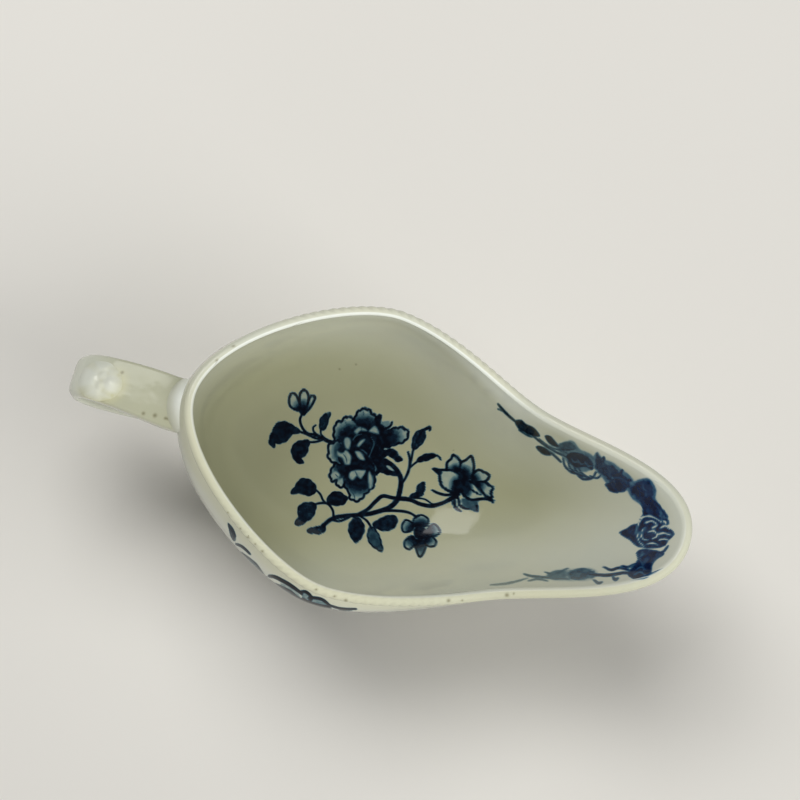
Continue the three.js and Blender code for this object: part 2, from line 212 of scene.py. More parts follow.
# How fine the surfaces are.
OUTLINE_STEPS = 1500
REED_COLUMNS = 7
MOULDING_ROWS = 12
INSIDE_ROWS = 135
FLOOR_ROWS = 55
BASE_ROWS = 8
OUTSIDE_ROWS = 165
CROWDING = 0.5
STRAP_ROWS = 260
CORNER_STEPS = 6
SECTION_POINTS = 110
KNUCKLE_ROWS = 48
KNUCKLE_COLUMNS = 48
TONGUE_ROWS = 24
SHELL_ROWS = 60
SHELL_COLUMNS = 200
FOOT_ROWS = 14
FOOT_COLUMNS = 240
CURVE_STEPS = 8
CLOSED_END = 1e-3
CLOSED_TURN = 1e-4


def mix(a, b, t):
    return a + (b - a) * t


def smooth(x, low, high):
    t = np.clip((x - low) / (high - low), 0, 1)
    return t * t * (3 - 2 * t)


def bezier(p0, p1, p2, p3, t):
    return (1 - t) ** 3 * p0 + 3 * (1 - t) ** 2 * t * p1 + 3 * (1 - t) * t * t * p2 + t ** 3 * p3


def unit(vectors):
    return vectors / np.linalg.norm(vectors, axis=-1, keepdims=True)


def lengths_along(line):
    """Length along a flat line up to each of its points."""
    return np.concatenate([[0], np.cumsum(np.hypot(*np.diff(line, axis=0).T))])


def half_outline():
    """The rim's inner edge on the +Y side, from the handle to the lip."""
    along = np.array([1, -WAIST_SLOPE]) / math.hypot(1, WAIST_SLOPE)
    waist = np.array([WAIST_X, WAIST_HALF_WIDTH])
    wide = np.array([WIDE_X, RIM_HALF_WIDTH])
    rear = np.array([REAR_X, 0.0])
    lip = np.array([LIP_X, 0.0])
    t = np.linspace(0, 1, OUTLINE_STEPS)[:, None]
    belly = bezier(rear, rear + [0, REAR_ROUND], wide - [WIDE_RUN_BACK, 0], wide, t)
    shoulder = bezier(wide, wide + [WIDE_RUN_FRONT, 0], waist - along * WAIST_RUN_BACK, waist, t)
    spout = bezier(waist, waist + along * WAIST_RUN_FRONT, lip + [0, LIP_ROUND], lip, t)
    return np.vstack([belly, shoulder[1:], spout[1:]])


OUTLINE = half_outline()
OUTLINE_ALONG = lengths_along(OUTLINE)
HALF_LENGTH = OUTLINE_ALONG[-1]
REEDS = round(2 * HALF_LENGTH / REED_PITCH)
COLUMNS = REEDS * REED_COLUMNS


def crest_height(x):
    """Height of the rim's crest: it falls from the handle, and climbs again to the lip."""
    reach = np.clip(x - REAR_X, 0, None) / (DIP_X - REAR_X)
    side = REAR_HEIGHT - SIDE_FALL * reach ** SIDE_FALL_POWER
    lip = LIP_HEIGHT - LIP_SLOPE * (LIP_X - x)
    return (side + lip) / 2 + np.hypot((side - lip) / 2, DIP_ROUNDING)


def rim_at(u):
    """Inner edge points and level outward normals at u, from 0 at the handle round to 1."""
    u = np.asarray(u, float) % 1.0
    side = np.where(u <= 0.5, 1.0, -1.0)
    s = HALF_LENGTH * np.where(u <= 0.5, 2 * u, 2 - 2 * u)
    step = HALF_LENGTH / OUTLINE_STEPS
    ends = [np.clip(s - step, 0, None), np.clip(s + step, None, HALF_LENGTH)]
    x, y = (np.interp(s, OUTLINE_ALONG, OUTLINE[:, k]) for k in (0, 1))
    tx, ty = (np.interp(ends[1], OUTLINE_ALONG, OUTLINE[:, k])
              - np.interp(ends[0], OUTLINE_ALONG, OUTLINE[:, k]) for k in (0, 1))
    tx = np.where((s < step) | (s > HALF_LENGTH - step), 0, tx)
    size = np.hypot(tx, ty)
    point = np.stack([x, side * y, crest_height(x)], -1)
    out = np.stack([-ty / size, side * tx / size, 0 * x], -1)
    return point, out


def oval_at(u, half_length, half_width, z):
    angle = math.pi - 2 * math.pi * np.asarray(u)
    return np.stack([FOOT_X + half_length * np.cos(angle), half_width * np.sin(angle), z + 0 * angle], -1)


def wall(u, t, start, offset, drop, spread, lean=0.0):
    """Rows of wall points: t along a cubic from an oval up to a place outside the rim's inner edge."""
    rim, out = rim_at(u)
    top = rim + out * offset - UP * drop
    heading = unit((top - start) * [1, 1, 0])
    spout = smooth(rim[:, :1], *SPOUT)
    leave = start + heading * (spread + SPOUT_SPREAD * spout)
    arrive = top + out * BELLY_SWELL * (1 - spout) - AHEAD * SPOUT_FLARE * spout
    arrive = arrive - UP * mix(BELLY_DROP, SPOUT_DROP, spout) - out * lean * smooth(rim[:, :1], *LEAN)
    return bezier(start, leave, arrive, top, np.asarray(t)[:, None, None])


def moulding_low(rim):
    """How far the half round turns under outside, less at the handle, where it runs into the wall."""
    return mix(MOULDING_REAR_LOW, MOULDING_LOW, smooth(rim[:, 0], *MOULDING_REAR))


def outside(u, t):
    """Outer wall, from the foot's top to the low side of the moulding."""
    start = oval_at(u, FOOT_TOP_HALF_LENGTH, FOOT_TOP_HALF_WIDTH, FOOT_HEIGHT)
    low = moulding_low(rim_at(u)[0])[:, None]
    radius = MOULDING_RADIUS - MOULDING_SETTLE
    offset = MOULDING_SETBACK + radius * np.cos(low)
    return wall(u, t, start, offset, MOULDING_RADIUS + radius * np.sin(low), BASE_SPREAD)


def inside(u, t):
    """Inner wall, from the oval floor to the rim's inner edge."""
    start = oval_at(u, FLOOR_HALF_LENGTH, FLOOR_HALF_WIDTH, FOOT_HEIGHT + FLOOR_THICKNESS)
    return wall(u, t, start, 0, INNER_EDGE_DROP, FLOOR_SPREAD, SPOUT_LEAN)


def crowded(count):
    """Steps from 0 to 1 that lie closer at both ends."""
    part = np.linspace(0, 1, count + 1)
    return mix(part, (1 - np.cos(math.pi * part)) / 2, CROWDING)


def reed_depth(rim):
    """Depth of the reeds, which fade towards the handle and the lip."""
    left = smooth(rim[:, 0], *REED_FADE_LEFT)
    rear = np.where(rim[:, 1] > 0, left, smooth(rim[:, 0], *REED_FADE_REAR))
    return REED_DEPTH * (1 - smooth(rim[:, 0], *REED_FADE_LIP)) * rear


def moulding(u):
    """Rows round the half round, from the wall's top over the crest to the inner edge."""
    rows = []
    for part in np.linspace(0, 1, MOULDING_ROWS + 1):
        side = np.clip(REED_TURN * np.sin(2 * math.pi * u), -1, 1)
        rim, out = rim_at(u + side * REED_SLANT * part / REEDS)
        angle = mix(-moulding_low(rim), MOULDING_HIGH, part)
        depth = reed_depth(rim) * math.sin(math.pi * part)
        radius = MOULDING_RADIUS - MOULDING_SETTLE + depth * np.cos(2 * math.pi * REEDS * u)
        reach = (MOULDING_SETBACK + radius * np.cos(angle))[:, None]
        lift = (radius * np.sin(angle) - MOULDING_RADIUS)[:, None]
        rows.append(rim + out * reach + UP * lift)
    return np.array(rows)


def surface(name, rows, middle=None, endless=False):
    """Mesh from rows of points that close on themselves, with a fan to a middle point if one is given."""
    count, columns = rows.shape[:2]
    points = rows.reshape(-1, 3)
    bands = count if endless else count - 1
    k, i = np.meshgrid(np.arange(bands), np.arange(columns), indexing="ij")
    after = (i + 1) % columns
    low, high = k * columns, (k + 1) % count * columns
    faces = np.stack([low + i, low + after, high + after, high + i], -1).reshape(-1, 4).tolist()
    if middle is not None:
        last = (count - 1) * columns
        faces += [[last + a, last + (a + 1) % columns, len(points)] for a in range(columns)]
        points = np.vstack([points, middle])
    return new_piece(name, points, faces)


def new_piece(name, points, faces):
    mesh = bpy.data.meshes.new(name)
    mesh.from_pydata((points * MM).tolist(), [], faces)
    mesh.validate()
    mesh.shade_smooth()
    piece = bpy.data.objects.new(name, mesh)
    bpy.context.scene.collection.objects.link(piece)
    return piece


def points_of(piece):
    """Places of a piece's vertices, in millimetres."""
    flat = np.empty(3 * len(piece.data.vertices), np.float32)
    piece.data.vertices.foreach_get("co", flat)
    return flat.reshape(-1, 3).astype(float) / MM


def tint(piece, name, values):
    """Stores one number for each vertex, for the materials to read."""
    made = piece.data.attributes.new(name, "FLOAT", "POINT")
    made.data.foreach_set("value", values.astype(np.float32))


def inside_print(points):
    """Ink of the spray on the floor and of the border at the lip."""
    print_on = Print(sheet_of(points))
    floor_spray(print_on)
    print_on.blur = WASH_BLUR
    border_washes(print_on)
    print_on.blur = BORDER_BLUR
    lip_border(print_on)
    return print_on.ink


def inside_painted_light_and_shade(piece, on_rim):
    """Stores the painted light and shade inside the bowl: glaze pooled with painted shade on the rim,
    painted light on the upper wall, and painted shade deeper in.
    """
    points = points_of(piece)
    x, y, z = points.T
    below = crest_height(x) - z
    # Glaze pooled with painted shade on the rim, more on its -Y side.
    tint(piece, "pool_and_shade", np.where(on_rim, mix(*RIM_POOL_AND_SHADE, smooth(-y, *SHADED_SIDE_RANGE)), 0))
    # Painted light on the upper wall under the rim, fading towards the lip.
    upper_side = smooth(y, *SHADED_SIDE_RANGE) * (1 - smooth(x, *PAINTED_LIGHT_TO_LIP))
    tint(piece, "painted_light", np.where(on_rim, 0, 1 - smooth(below, *PAINTED_LIGHT_DEPTH)) * upper_side)
    # Painted shade deeper in, less on the lit side towards the lip.
    painted_shade = smooth(below, *SHADE_FROM) * mix(SHADE_WALL, 1, smooth(below, *SHADE_FULL))
    spout_shade = SPOUT_SHADE * smooth(x, *SPOUT_SHADE_FROM) * smooth(y, *SPOUT_SHADE_SIDE)
    painted_shade = np.clip(painted_shade + spout_shade * smooth(below, *SHADE_FROM), 0, 1)
    lit_side = smooth(x * LIT_TO_LIP - y, *LIT_FROM)
    tint(piece, "painted_shade", painted_shade * (1 - LIT_SHARE * lit_side))


def bowl_inside():
    u = np.arange(COLUMNS) / COLUMNS
    walls = inside(u, 1 - crowded(INSIDE_ROWS))
    middle = np.array([FOOT_X, 0, FOOT_HEIGHT + FLOOR_THICKNESS])
    floor = [mix(walls[-1], middle, k / FLOOR_ROWS) for k in range(1, FLOOR_ROWS)]
    piece = surface("bowl_inside", np.concatenate([moulding(u), walls[1:], floor]), middle)
    points = points_of(piece)
    on_rim = np.arange(len(points)) < MOULDING_ROWS * COLUMNS
    tint(piece, "ink", np.concatenate([np.zeros(on_rim.sum()), inside_print(points[~on_rim])]))
    inside_painted_light_and_shade(piece, on_rim)
    tint(piece, "stain", stains(points, BOWL_SPOTS))
    return piece


def bowl_outside():
    u = np.arange(COLUMNS) / COLUMNS
    walls = outside(u, 1 - crowded(OUTSIDE_ROWS))[:, ::-1]
    middle = np.array([FOOT_X, 0, FOOT_HEIGHT])
    base = [mix(walls[-1], middle, k / BASE_ROWS) for k in range(1, BASE_ROWS)]
    piece = surface("bowl_outside", np.concatenate([walls, base]), middle)
    points = points_of(piece)
    sides = Print(flank_sheet_of(points), FLANK_BLUR)
    floor_spray(sides)
    strip = Print(sheet_of(points))
    outside_strip(strip)
    on_strip = smooth(points[:, 2], *STRIP_FROM) * (points[:, 1] < 0)
    tint(piece, "ink", mix(sides.ink, strip.ink, on_strip))
    under_rim = crest_height(points[:, 0]) - MOULDING_RADIUS - points[:, 2]
    # Glaze pooled with painted shade under the moulding.
    tint(piece, "pool_and_shade", POOL_AND_SHADE_UNDER_RIM * (1 - smooth(under_rim, *POOL_AND_SHADE_DEPTH)))
    # Painted light, even over the whole outside.
    tint(piece, "painted_light", np.full(len(points), OUTSIDE_PAINTED_LIGHT))
    tint(piece, "dull", OUTSIDE_DULL * on_strip)
    return piece


# Point of view: from above, leaning towards -Y, turned about its own axis. The camera stands there.
VIEW_AIM = np.array([1.4, 19.7, 60.0])
VIEW_DISTANCE = 900.0
VIEW_TILT = math.radians(13.7)
VIEW_TURN = math.radians(16.6)
VIEW_BACK = np.array([0, -math.sin(VIEW_TILT), math.cos(VIEW_TILT)])

# The print is drawn on a flat sheet, as seen from there, and put on the boat from there.
SHEET_UNIT = 0.3147
SHEET_MIDDLE = 400.0
PEN_BLUR = 0.7
PEN_SWELL = 0.6
TURNED_BLUR = 1.5
TURNED_TONE = 0.2
FRILL_PITCH = 7.0
LEAF_FRILL = 0.7
BORDER_BLUR = 1.2
WASH_BLUR = 2.2

# The same spray again, level on each side, under the strip that shows below the rim from above.
FLANK_UNIT = 0.3
FLANK_BLUR = 1.3
FLANK_X = -121.5
FLANK_Z = 180.0
STRIP_FROM = (46.0, 49.0)


def view_axes():
    """Right and up as seen from the point of view."""
    rise = np.array([0, math.cos(VIEW_TILT), math.sin(VIEW_TILT)])
    right = AHEAD * math.cos(VIEW_TURN) + rise * math.sin(VIEW_TURN)
    up = rise * math.cos(VIEW_TURN) - AHEAD * math.sin(VIEW_TURN)
    return right, up


def sheet_of(points):
    """Places on the sheet, right and down, for points of the boat."""
    right, up = view_axes()
    arm = points - VIEW_AIM
    scale = VIEW_DISTANCE / (VIEW_DISTANCE - arm @ VIEW_BACK) / SHEET_UNIT
    return np.stack([SHEET_MIDDLE + arm @ right * scale, SHEET_MIDDLE - arm @ up * scale], -1)


def flank_sheet_of(points):
    """Places on the sheet for the spray on each side, looking level at the side."""
    x, _, z = points.T
    return np.stack([x - FLANK_X, FLANK_Z - z], -1) / FLANK_UNIT


def curve_through(stops, closed=False, steps=CURVE_STEPS):
    """Smooth line through a few stops."""
    p = np.array(stops, float)
    if closed:
        p = np.vstack([p[-1], p, p[0], p[1]])
    else:
        p = np.vstack([2 * p[0] - p[1], p, 2 * p[-1] - p[-2]])
    t = np.linspace(0, 1, steps, endpoint=False)[:, None]
    line = []
    for a, b, c, d in zip(p, p[1:], p[2:], p[3:]):
        square, cube = 2 * a - 5 * b + 4 * c - d, 3 * b - a - 3 * c + d
        line.append((2 * b + (c - a) * t + square * t * t + cube * t ** 3) / 2)
    return np.vstack(line + [p[-2]])


def frilled(line, depth, pitch):
    """Closed line with small scallops that stand out from it."""
    way = np.gradient(line, axis=0)
    out = np.stack([way[:, 1], -way[:, 0]], -1) / np.hypot(*way.T)[:, None]
    turn = np.sign(np.sum(line[:-1, 0] * line[1:, 1] - line[1:, 0] * line[:-1, 1]))
    length = lengths_along(line)
    count = max(round(length[-1] / pitch), 1)
    wave = np.abs(np.sin(math.pi * count * length / length[-1]))
    moved = line + out * (turn * depth * (wave - 0.5))[:, None]
    moved[-1] = moved[0]
    return moved


def outline_through(stops, frill):
    """Closed smooth line through a few stops, with scallops of a given depth if there are any."""
    line = curve_through(stops, closed=True)
    return frilled(line, frill, FRILL_PITCH) if frill else line


class Print:
    """Ink on a set of places: 0 is bare, 1 is darkest. Stops and widths are in the sheet's units."""

    def __init__(self, places, blur=PEN_BLUR):
        self.places = places
        self.blur = blur
        self.ink = np.zeros(len(places))

    def near(self, line, reach):
        low, high = line.min(0) - reach, line.max(0) + reach
        return np.flatnonzero(((self.places > low) & (self.places < high)).all(1))

    def distance(self, chosen, line):
        """Distance to a line, and how far along it the nearest place is, from 0 to 1."""
        q = self.places[chosen]
        best = np.full(len(q), np.inf)
        part = np.zeros(len(q))
        count = len(line) - 1
        for k, (a, b) in enumerate(zip(line, line[1:])):
            d = b - a
            t = np.clip((q - a) @ d / max(d @ d, TINY), 0, 1)
            gap = np.hypot(*(q - a - t[:, None] * d).T)
            closer = gap < best
            best = np.where(closer, gap, best)
            part = np.where(closer, (k + t) / count, part)
        return best, part

    def line_cover(self, gap, half):
        """How much of a line with soft edges lies over places at a distance from its middle."""
        return 1 - smooth(gap, half - self.blur, half + self.blur)

    def stroke(self, stops, width=1.6, ends=0.5, tone=1.0, pale=False):
        """Line that thins to a share of its width at both ends, dark, or pale over what is dark."""
        line = curve_through(stops)
        chosen = self.near(line, width + 2 * self.blur)
        gap, part = self.distance(chosen, line)
        half = width / 2 * (ends + (1 - ends) * np.sin(math.pi * part) ** PEN_SWELL)
        cover = self.line_cover(gap, half)
        if pale:
            self.ink[chosen] = mix(self.ink[chosen], np.minimum(self.ink[chosen], tone), cover)
        else:
            self.ink[chosen] = np.maximum(self.ink[chosen], tone * cover)

    def inside_of(self, line, reach):
        """Places near a closed line, how far in from it they lie, and their distance to it."""
        chosen = self.near(line, reach)
        q = self.places[chosen]
        within = np.zeros(len(q), bool)
        for a, b in zip(line, line[1:]):
            crosses = (a[1] > q[:, 1]) != (b[1] > q[:, 1])
            side = (b[0] - a[0]) * (q[:, 1] - a[1]) / (b[1] - a[1] + TINY) + a[0]
            within ^= crosses & (q[:, 0] < side)
        gap, _ = self.distance(chosen, line)
        return chosen, np.where(within, gap, -gap), gap

    def shape(self, stops, tone=1.0, rim=0.0, rim_width=1.5, frill=0.0):
        """Filled shape, with a line round it if a rim tone is given."""
        line = outline_through(stops, frill)
        chosen, inner, gap = self.inside_of(line, 2 * self.blur + rim_width)
        cover = tone * smooth(inner, -self.blur, self.blur)
        edge = rim * self.line_cover(gap, rim_width / 2)
        self.ink[chosen] = np.maximum(self.ink[chosen], np.maximum(cover, edge))

    def clear(self, stops, tone=TURNED_TONE):
        """Paler window in what is printed already."""
        chosen, inner, _ = self.inside_of(curve_through(stops, closed=True), 2 * self.blur)
        pale = np.minimum(self.ink[chosen], tone)
        self.ink[chosen] = mix(self.ink[chosen], pale, smooth(inner, -self.blur, self.blur))

    def leaf(self, stops, tone=0.86, vein=None):
        self.shape(stops, tone, rim=1.0, rim_width=1.6, frill=LEAF_FRILL)
        if vein:
            self.stroke(vein, 1.3, 0.3)

    def petal(self, stops, heart, pale=0.1, shade=(0.35, 1.0), line_width=1.9, frill=0.0):
        """Petal over what is there: dark towards the heart, pale at its outer edge, a line round it."""
        line = outline_through(stops, frill)
        chosen, inner, gap = self.inside_of(line, 2 * self.blur + line_width)
        heart = np.array(heart, float)
        away = np.hypot(*(self.places[chosen] - heart).T) / np.hypot(*(line - heart).T).max()
        tone = mix(1.0, pale, smooth(away, *shade))
        self.ink[chosen] = mix(self.ink[chosen], tone, smooth(inner, -self.blur, self.blur))
        self.ink[chosen] = np.maximum(self.ink[chosen], self.line_cover(gap, line_width / 2))


def bud(sheet):
    heart = (303, 411)
    for stops in (
        [(300, 411), (291, 407), (289, 400), (291, 394), (295, 394), (298, 399), (300, 407)],
        [(304, 413), (310, 408), (314, 401), (315, 397), (311, 396), (308, 402)],
        [(302, 412), (300, 402), (300, 394), (304, 390), (308, 394), (308, 402), (305, 411)],
    ):
        sheet.petal(stops, heart, pale=0.14, shade=(0.12, 0.7), line_width=2.4)
    sheet.shape([(297, 409), (302, 409), (310, 408), (306, 414), (303, 416)], 0.95)
    sheet.stroke([(302, 414), (300, 420), (302, 427), (307, 433), (315, 435), (323, 439)], 2.6, 0.8)


def left_leaves(sheet):
    sheet.leaf([(300, 432), (293, 426), (284, 422), (277, 424), (273, 431), (270, 438), (270, 444),
                (274, 447), (275, 443), (280, 443), (287, 440), (292, 434)], 0.9,
               [(298, 432), (286, 430), (276, 437)])
    sheet.leaf([(309, 441), (302, 441), (296, 443), (292, 449), (293, 456), (297, 462), (303, 463),
                (301, 458), (306, 454), (308, 447)], 0.95, [(306, 444), (300, 452)])
    sheet.leaf([(321, 430), (320, 422), (323, 416), (330, 413), (328, 420), (326, 427)], 0.8)
    sheet.stroke([(298, 431), (306, 434), (315, 438), (322, 439)], 2.2, 0.9)
    sheet.stroke([(307, 442), (315, 442), (323, 440)], 2.2, 0.8)
    sheet.stroke([(321, 428), (321, 434), (326, 439), (334, 442)], 2.0, 0.8)
    sheet.stroke([(324, 438), (315, 433), (313, 428), (316, 425)], 2.0, 0.6)
    sheet.stroke([(321, 438), (329, 442), (338, 441)], 2.6, 0.9)


# Lists of stops: petals with the places they darken towards, edges that turn over, and fine lines.
PEONY_PETALS = [
    ([(356, 428), (355, 418), (359, 411), (364, 409), (369, 410), (371, 413), (375, 416), (376, 421),
      (373, 428)], (365, 432)),
    ([(338, 444), (334, 436), (335, 426), (338, 422), (342, 421), (346, 417), (351, 418), (355, 422),
      (358, 430)], (352, 440)),
    ([(344, 446), (339, 441), (333, 443), (328, 446), (329, 450), (328, 455), (330, 460), (336, 463),
      (344, 464)], (350, 452)),
    ([(345, 468), (336, 464), (332, 469), (330, 475), (332, 481), (336, 480), (337, 485), (341, 487),
      (346, 483), (350, 476)], (350, 466)),
    ([(346, 476), (345, 486), (349, 492), (350, 498), (356, 501), (361, 499), (366, 493), (371, 489),
      (374, 484), (374, 474), (366, 468)], (359, 476)),
    ([(378, 446), (384, 436), (390, 430), (397, 428), (403, 428), (408, 432), (407, 438), (403, 442),
      (396, 444), (387, 447)], (380, 442)),
]
PEONY_TURNED = [
    [(354, 431), (359, 427), (364, 428), (367, 431), (361, 431), (357, 434)],
    [(369, 431), (374, 426), (378, 429), (379, 434), (374, 433)],
    [(344, 439), (348, 437), (351, 441), (349, 449), (345, 447)],
    [(337, 451), (342, 453), (346, 450), (351, 456), (350, 464), (345, 464), (342, 458), (338, 456)],
    [(357, 445), (360, 441), (365, 439), (363, 443), (359, 447)],
    [(355, 452), (359, 451), (363, 455), (365, 460), (359, 459)],
    [(350, 472), (356, 470), (362, 470), (366, 471), (361, 479), (357, 476), (353, 480), (349, 478)],
    [(369, 471), (372, 476), (373, 484), (370, 489), (368, 481)],
    [(333, 473), (336, 471), (340, 475), (336, 479), (333, 478)],
    [(339, 480), (343, 478), (343, 483), (340, 484)],
]
PEONY_LINES = [
    [(343, 454), (346, 458), (347, 463)], [(355, 471), (357, 475), (358, 479)], [(361, 427), (362, 431)],
    [(335, 474), (338, 477)], [(350, 490), (354, 495), (355, 500)], [(363, 410), (364, 416), (365, 422)],
    [(344, 419), (347, 425), (349, 430)], [(390, 431), (388, 437), (389, 443)],
    [(400, 430), (398, 436), (399, 441)],
]
PEONY_PALE_LINES = [
    [(371, 437), (374, 443), (372, 450), (369, 457)], [(360, 449), (364, 451), (367, 454)],
    [(353, 440), (356, 436), (362, 434)], [(373, 463), (376, 468), (375, 472)],
]


def peony(sheet):
    """Open peony: petals that darken inwards round a dark heart with pale turned-over edges in it."""
    for stops, heart in PEONY_PETALS:
        sheet.petal(stops, heart, pale=0.17, shade=(0.36, 0.9), line_width=2.4, frill=1.3)
    sheet.shape([(342, 443), (346, 433), (353, 428), (364, 427), (374, 425), (380, 424), (387, 430),
                 (386, 440), (384, 448), (384, 462), (380, 472), (373, 476), (367, 483), (353, 483),
                 (347, 475), (343, 466), (338, 460), (339, 450)], 1.0)
    sheet.shape([(374, 424), (376, 417), (379, 414), (382, 416), (381, 422), (380, 427)], 0.95)
    sheet.shape([(382, 428), (381, 422), (385, 421), (390, 421), (390, 427), (386, 431)], 0.3)
    sheet.stroke([(380, 428), (387, 428), (391, 425), (392, 422)], 2.4, 0.8)
    soft = sheet.blur
    sheet.blur = TURNED_BLUR
    for stops in PEONY_TURNED:
        sheet.clear(stops)
    sheet.blur = soft
    for stops in PEONY_LINES:
        sheet.stroke(stops, 1.3, 0.3, 0.6)
    for stops in PEONY_PALE_LINES:
        sheet.stroke(stops, 1.6, 0.4, 0.5, pale=True)


def peony_calyx(sheet):
    sheet.leaf([(380, 453), (387, 450), (394, 450), (398, 455), (402, 460), (397, 461), (392, 457),
                (387, 455), (381, 459)], 1.0)
    sheet.leaf([(377, 463), (386, 462), (393, 465), (398, 470), (400, 476), (394, 475), (387, 474),
                (379, 470)], 1.0)
    sheet.clear([(386, 466), (390, 466), (395, 471), (390, 470)])
    sheet.stroke([(374, 464), (374, 471), (377, 475)], 2.2)
    sheet.stroke([(380, 462), (380, 470), (376, 475)], 2.2)


def branch(sheet):
    sheet.stroke([(385, 460), (392, 465), (398, 472), (401, 480), (400, 490), (397, 500), (390, 507),
                  (380, 511), (368, 514), (356, 515)], 5.0, 0.75)
    sheet.stroke([(369, 514), (356, 515), (345, 516), (334, 518), (326, 523), (321, 529)], 4.2, 0.8)
    sheet.stroke([(350, 517), (340, 521), (332, 520)], 2.2, 0.8)
    sheet.leaf([(307, 531), (313, 528), (319, 527), (324, 524), (325, 529), (321, 533), (313, 533)], 0.8)
    sheet.stroke([(357, 515), (368, 509), (376, 501), (383, 496), (394, 498), (406, 498)], 3.8, 0.8)
    sheet.stroke([(397, 499), (410, 500), (420, 504), (431, 506), (440, 504), (452, 499)], 4.0, 0.8)
    sheet.stroke([(402, 498), (412, 498), (424, 499), (432, 504)], 1.8, 0.7)
    sheet.stroke([(366, 515), (384, 511), (400, 511), (410, 513), (418, 518)], 2.8, 0.6)


def right_sprigs(sheet):
    sheet.stroke([(401, 485), (406, 477), (409, 469), (410, 460), (408, 452)], 2.6, 0.7)
    sheet.stroke([(410, 468), (412, 456), (414, 448), (421, 433), (430, 428)], 2.2, 0.6)
    sheet.leaf([(413, 449), (413, 440), (416, 433), (422, 430), (425, 433), (424, 440), (419, 446)], 0.82)
    sheet.stroke([(423, 430), (427, 428), (430, 427), (430, 430)], 2.6, 0.9)
    sheet.stroke([(409, 469), (414, 464), (420, 460), (430, 455), (438, 456), (441, 460)], 2.2, 0.6)
    sheet.leaf([(417, 461), (422, 456), (429, 454), (436, 455), (430, 459), (423, 461)], 0.97)
    sheet.leaf([(419, 495), (417, 489), (420, 484), (424, 483), (424, 490), (422, 495)], 0.9)
    sheet.leaf([(410, 497), (415, 493), (420, 493), (418, 497)], 0.97)


def lower_leaves(sheet):
    sheet.leaf([(291, 493), (295, 487), (300, 480), (306, 479), (312, 482), (316, 488), (313, 494),
                (307, 495), (301, 493), (296, 493)], 0.97)
    sheet.stroke([(314, 488), (320, 494), (323, 500), (327, 504)], 2.2, 0.7)
    sheet.leaf([(315, 504), (307, 503), (301, 505), (298, 510), (299, 517), (295, 523), (300, 525),
                (306, 521), (312, 517), (315, 510)], 0.84, [(312, 506), (303, 512), (302, 520)])
    sheet.stroke([(313, 505), (321, 503), (328, 504), (333, 511), (333, 519)], 2.4, 0.7)
    sheet.leaf([(327, 501), (331, 494), (338, 492), (345, 496), (347, 499), (343, 504), (336, 505),
                (330, 504)], 0.97)
    sheet.leaf([(357, 518), (351, 522), (349, 530), (352, 538), (356, 542), (361, 537), (364, 529),
                (362, 522)], 0.9)
    sheet.leaf([(372, 527), (368, 533), (369, 541), (374, 547), (382, 551), (381, 543), (378, 534)], 0.62)
    sheet.leaf([(373, 525), (379, 520), (388, 516), (396, 517), (396, 524), (391, 529), (382, 530)], 0.9)
    sheet.stroke([(352, 516), (358, 520), (359, 526)], 2.4, 0.8)
    sheet.stroke([(360, 516), (367, 521), (372, 529)], 2.4, 0.8)


def second_flower(sheet):
    """Half-open flower from the side: back petals, then the two large front ones with dark points."""
    for stops, heart in (
        ([(448, 471), (447, 463), (451, 459), (453, 455), (457, 457), (460, 461), (461, 468), (456, 472)],
          (456, 473)),
        ([(460, 471), (461, 463), (466, 460), (471, 456), (473, 460), (474, 467), (472, 475), (468, 479),
          (463, 476)], (462, 476)),
        ([(473, 475), (478, 470), (484, 472), (489, 475), (488, 479), (484, 482), (478, 484), (472, 481)],
          (471, 480)),
        ([(476, 483), (485, 482), (489, 485), (493, 488), (491, 492), (492, 497), (488, 499), (481, 493)],
          (474, 484)),
    ):
        sheet.petal(stops, heart, pale=0.16, shade=(0.2, 0.62), line_width=2.5)
    sheet.shape([(461, 499), (470, 499), (478, 500), (478, 505), (477, 511), (470, 510), (464, 508)], 0.55)
    sheet.petal([(461, 491), (462, 484), (468, 481), (473, 483), (479, 488), (484, 494), (488, 498),
                 (493, 501), (487, 499), (480, 499), (472, 500), (466, 497)], (461, 488), pale=0.12,
                 shade=(0.2, 0.4), line_width=3.0)
    sheet.stroke([(465, 486), (470, 489), (475, 492), (480, 495)], 1.8, 0.6)
    sheet.petal([(434, 469), (440, 470), (450, 470), (456, 472), (460, 476), (462, 483), (460, 491),
                 (454, 493), (449, 491), (443, 487), (440, 481), (439, 474)], (461, 486), pale=0.14,
                 shade=(0.12, 0.44), line_width=2.8)
    sheet.stroke([(433, 469), (437, 470), (441, 473)], 3.4, 0.7)
    sheet.shape([(454, 480), (459, 479), (463, 474), (468, 480), (464, 486), (461, 492), (457, 499),
                 (450, 495), (451, 489), (453, 484)], 1.0)
    sheet.stroke([(488, 497), (491, 499), (493, 502)], 3.4, 0.8)
    sheet.stroke([(432, 490), (438, 493), (446, 495), (454, 494)], 2.8, 0.6)
    sheet.stroke([(430, 505), (438, 504), (446, 501), (453, 496)], 3.0, 0.8)
    sheet.stroke([(454, 497), (454, 503), (456, 508), (460, 511)], 3.2, 0.6)
    sheet.stroke([(458, 497), (459, 504), (464, 508), (469, 509)], 2.6, 0.6)
    sheet.stroke([(477, 506), (477, 509), (476, 511)], 3.2, 0.9)


def third_flower(sheet):
    heart = (420, 532)
    for stops in (
        [(412, 536), (405, 541), (405, 547), (410, 549), (416, 542)],
        [(414, 541), (416, 549), (420, 557), (425, 549), (425, 541)],
        [(424, 541), (428, 546), (434, 546), (436, 541), (430, 536)],
        [(428, 536), (435, 536), (440, 531), (434, 524), (428, 529)],
        [(412, 530), (404, 532), (402, 526), (406, 520), (413, 524)],
        [(414, 526), (414, 519), (421, 515), (428, 519), (426, 526)],
    ):
        sheet.petal(stops, heart, pale=0.15, shade=(0.4, 1.0))
    sheet.shape([(414, 530), (419, 526), (426, 529), (427, 536), (421, 540), (415, 537)], 1.0)


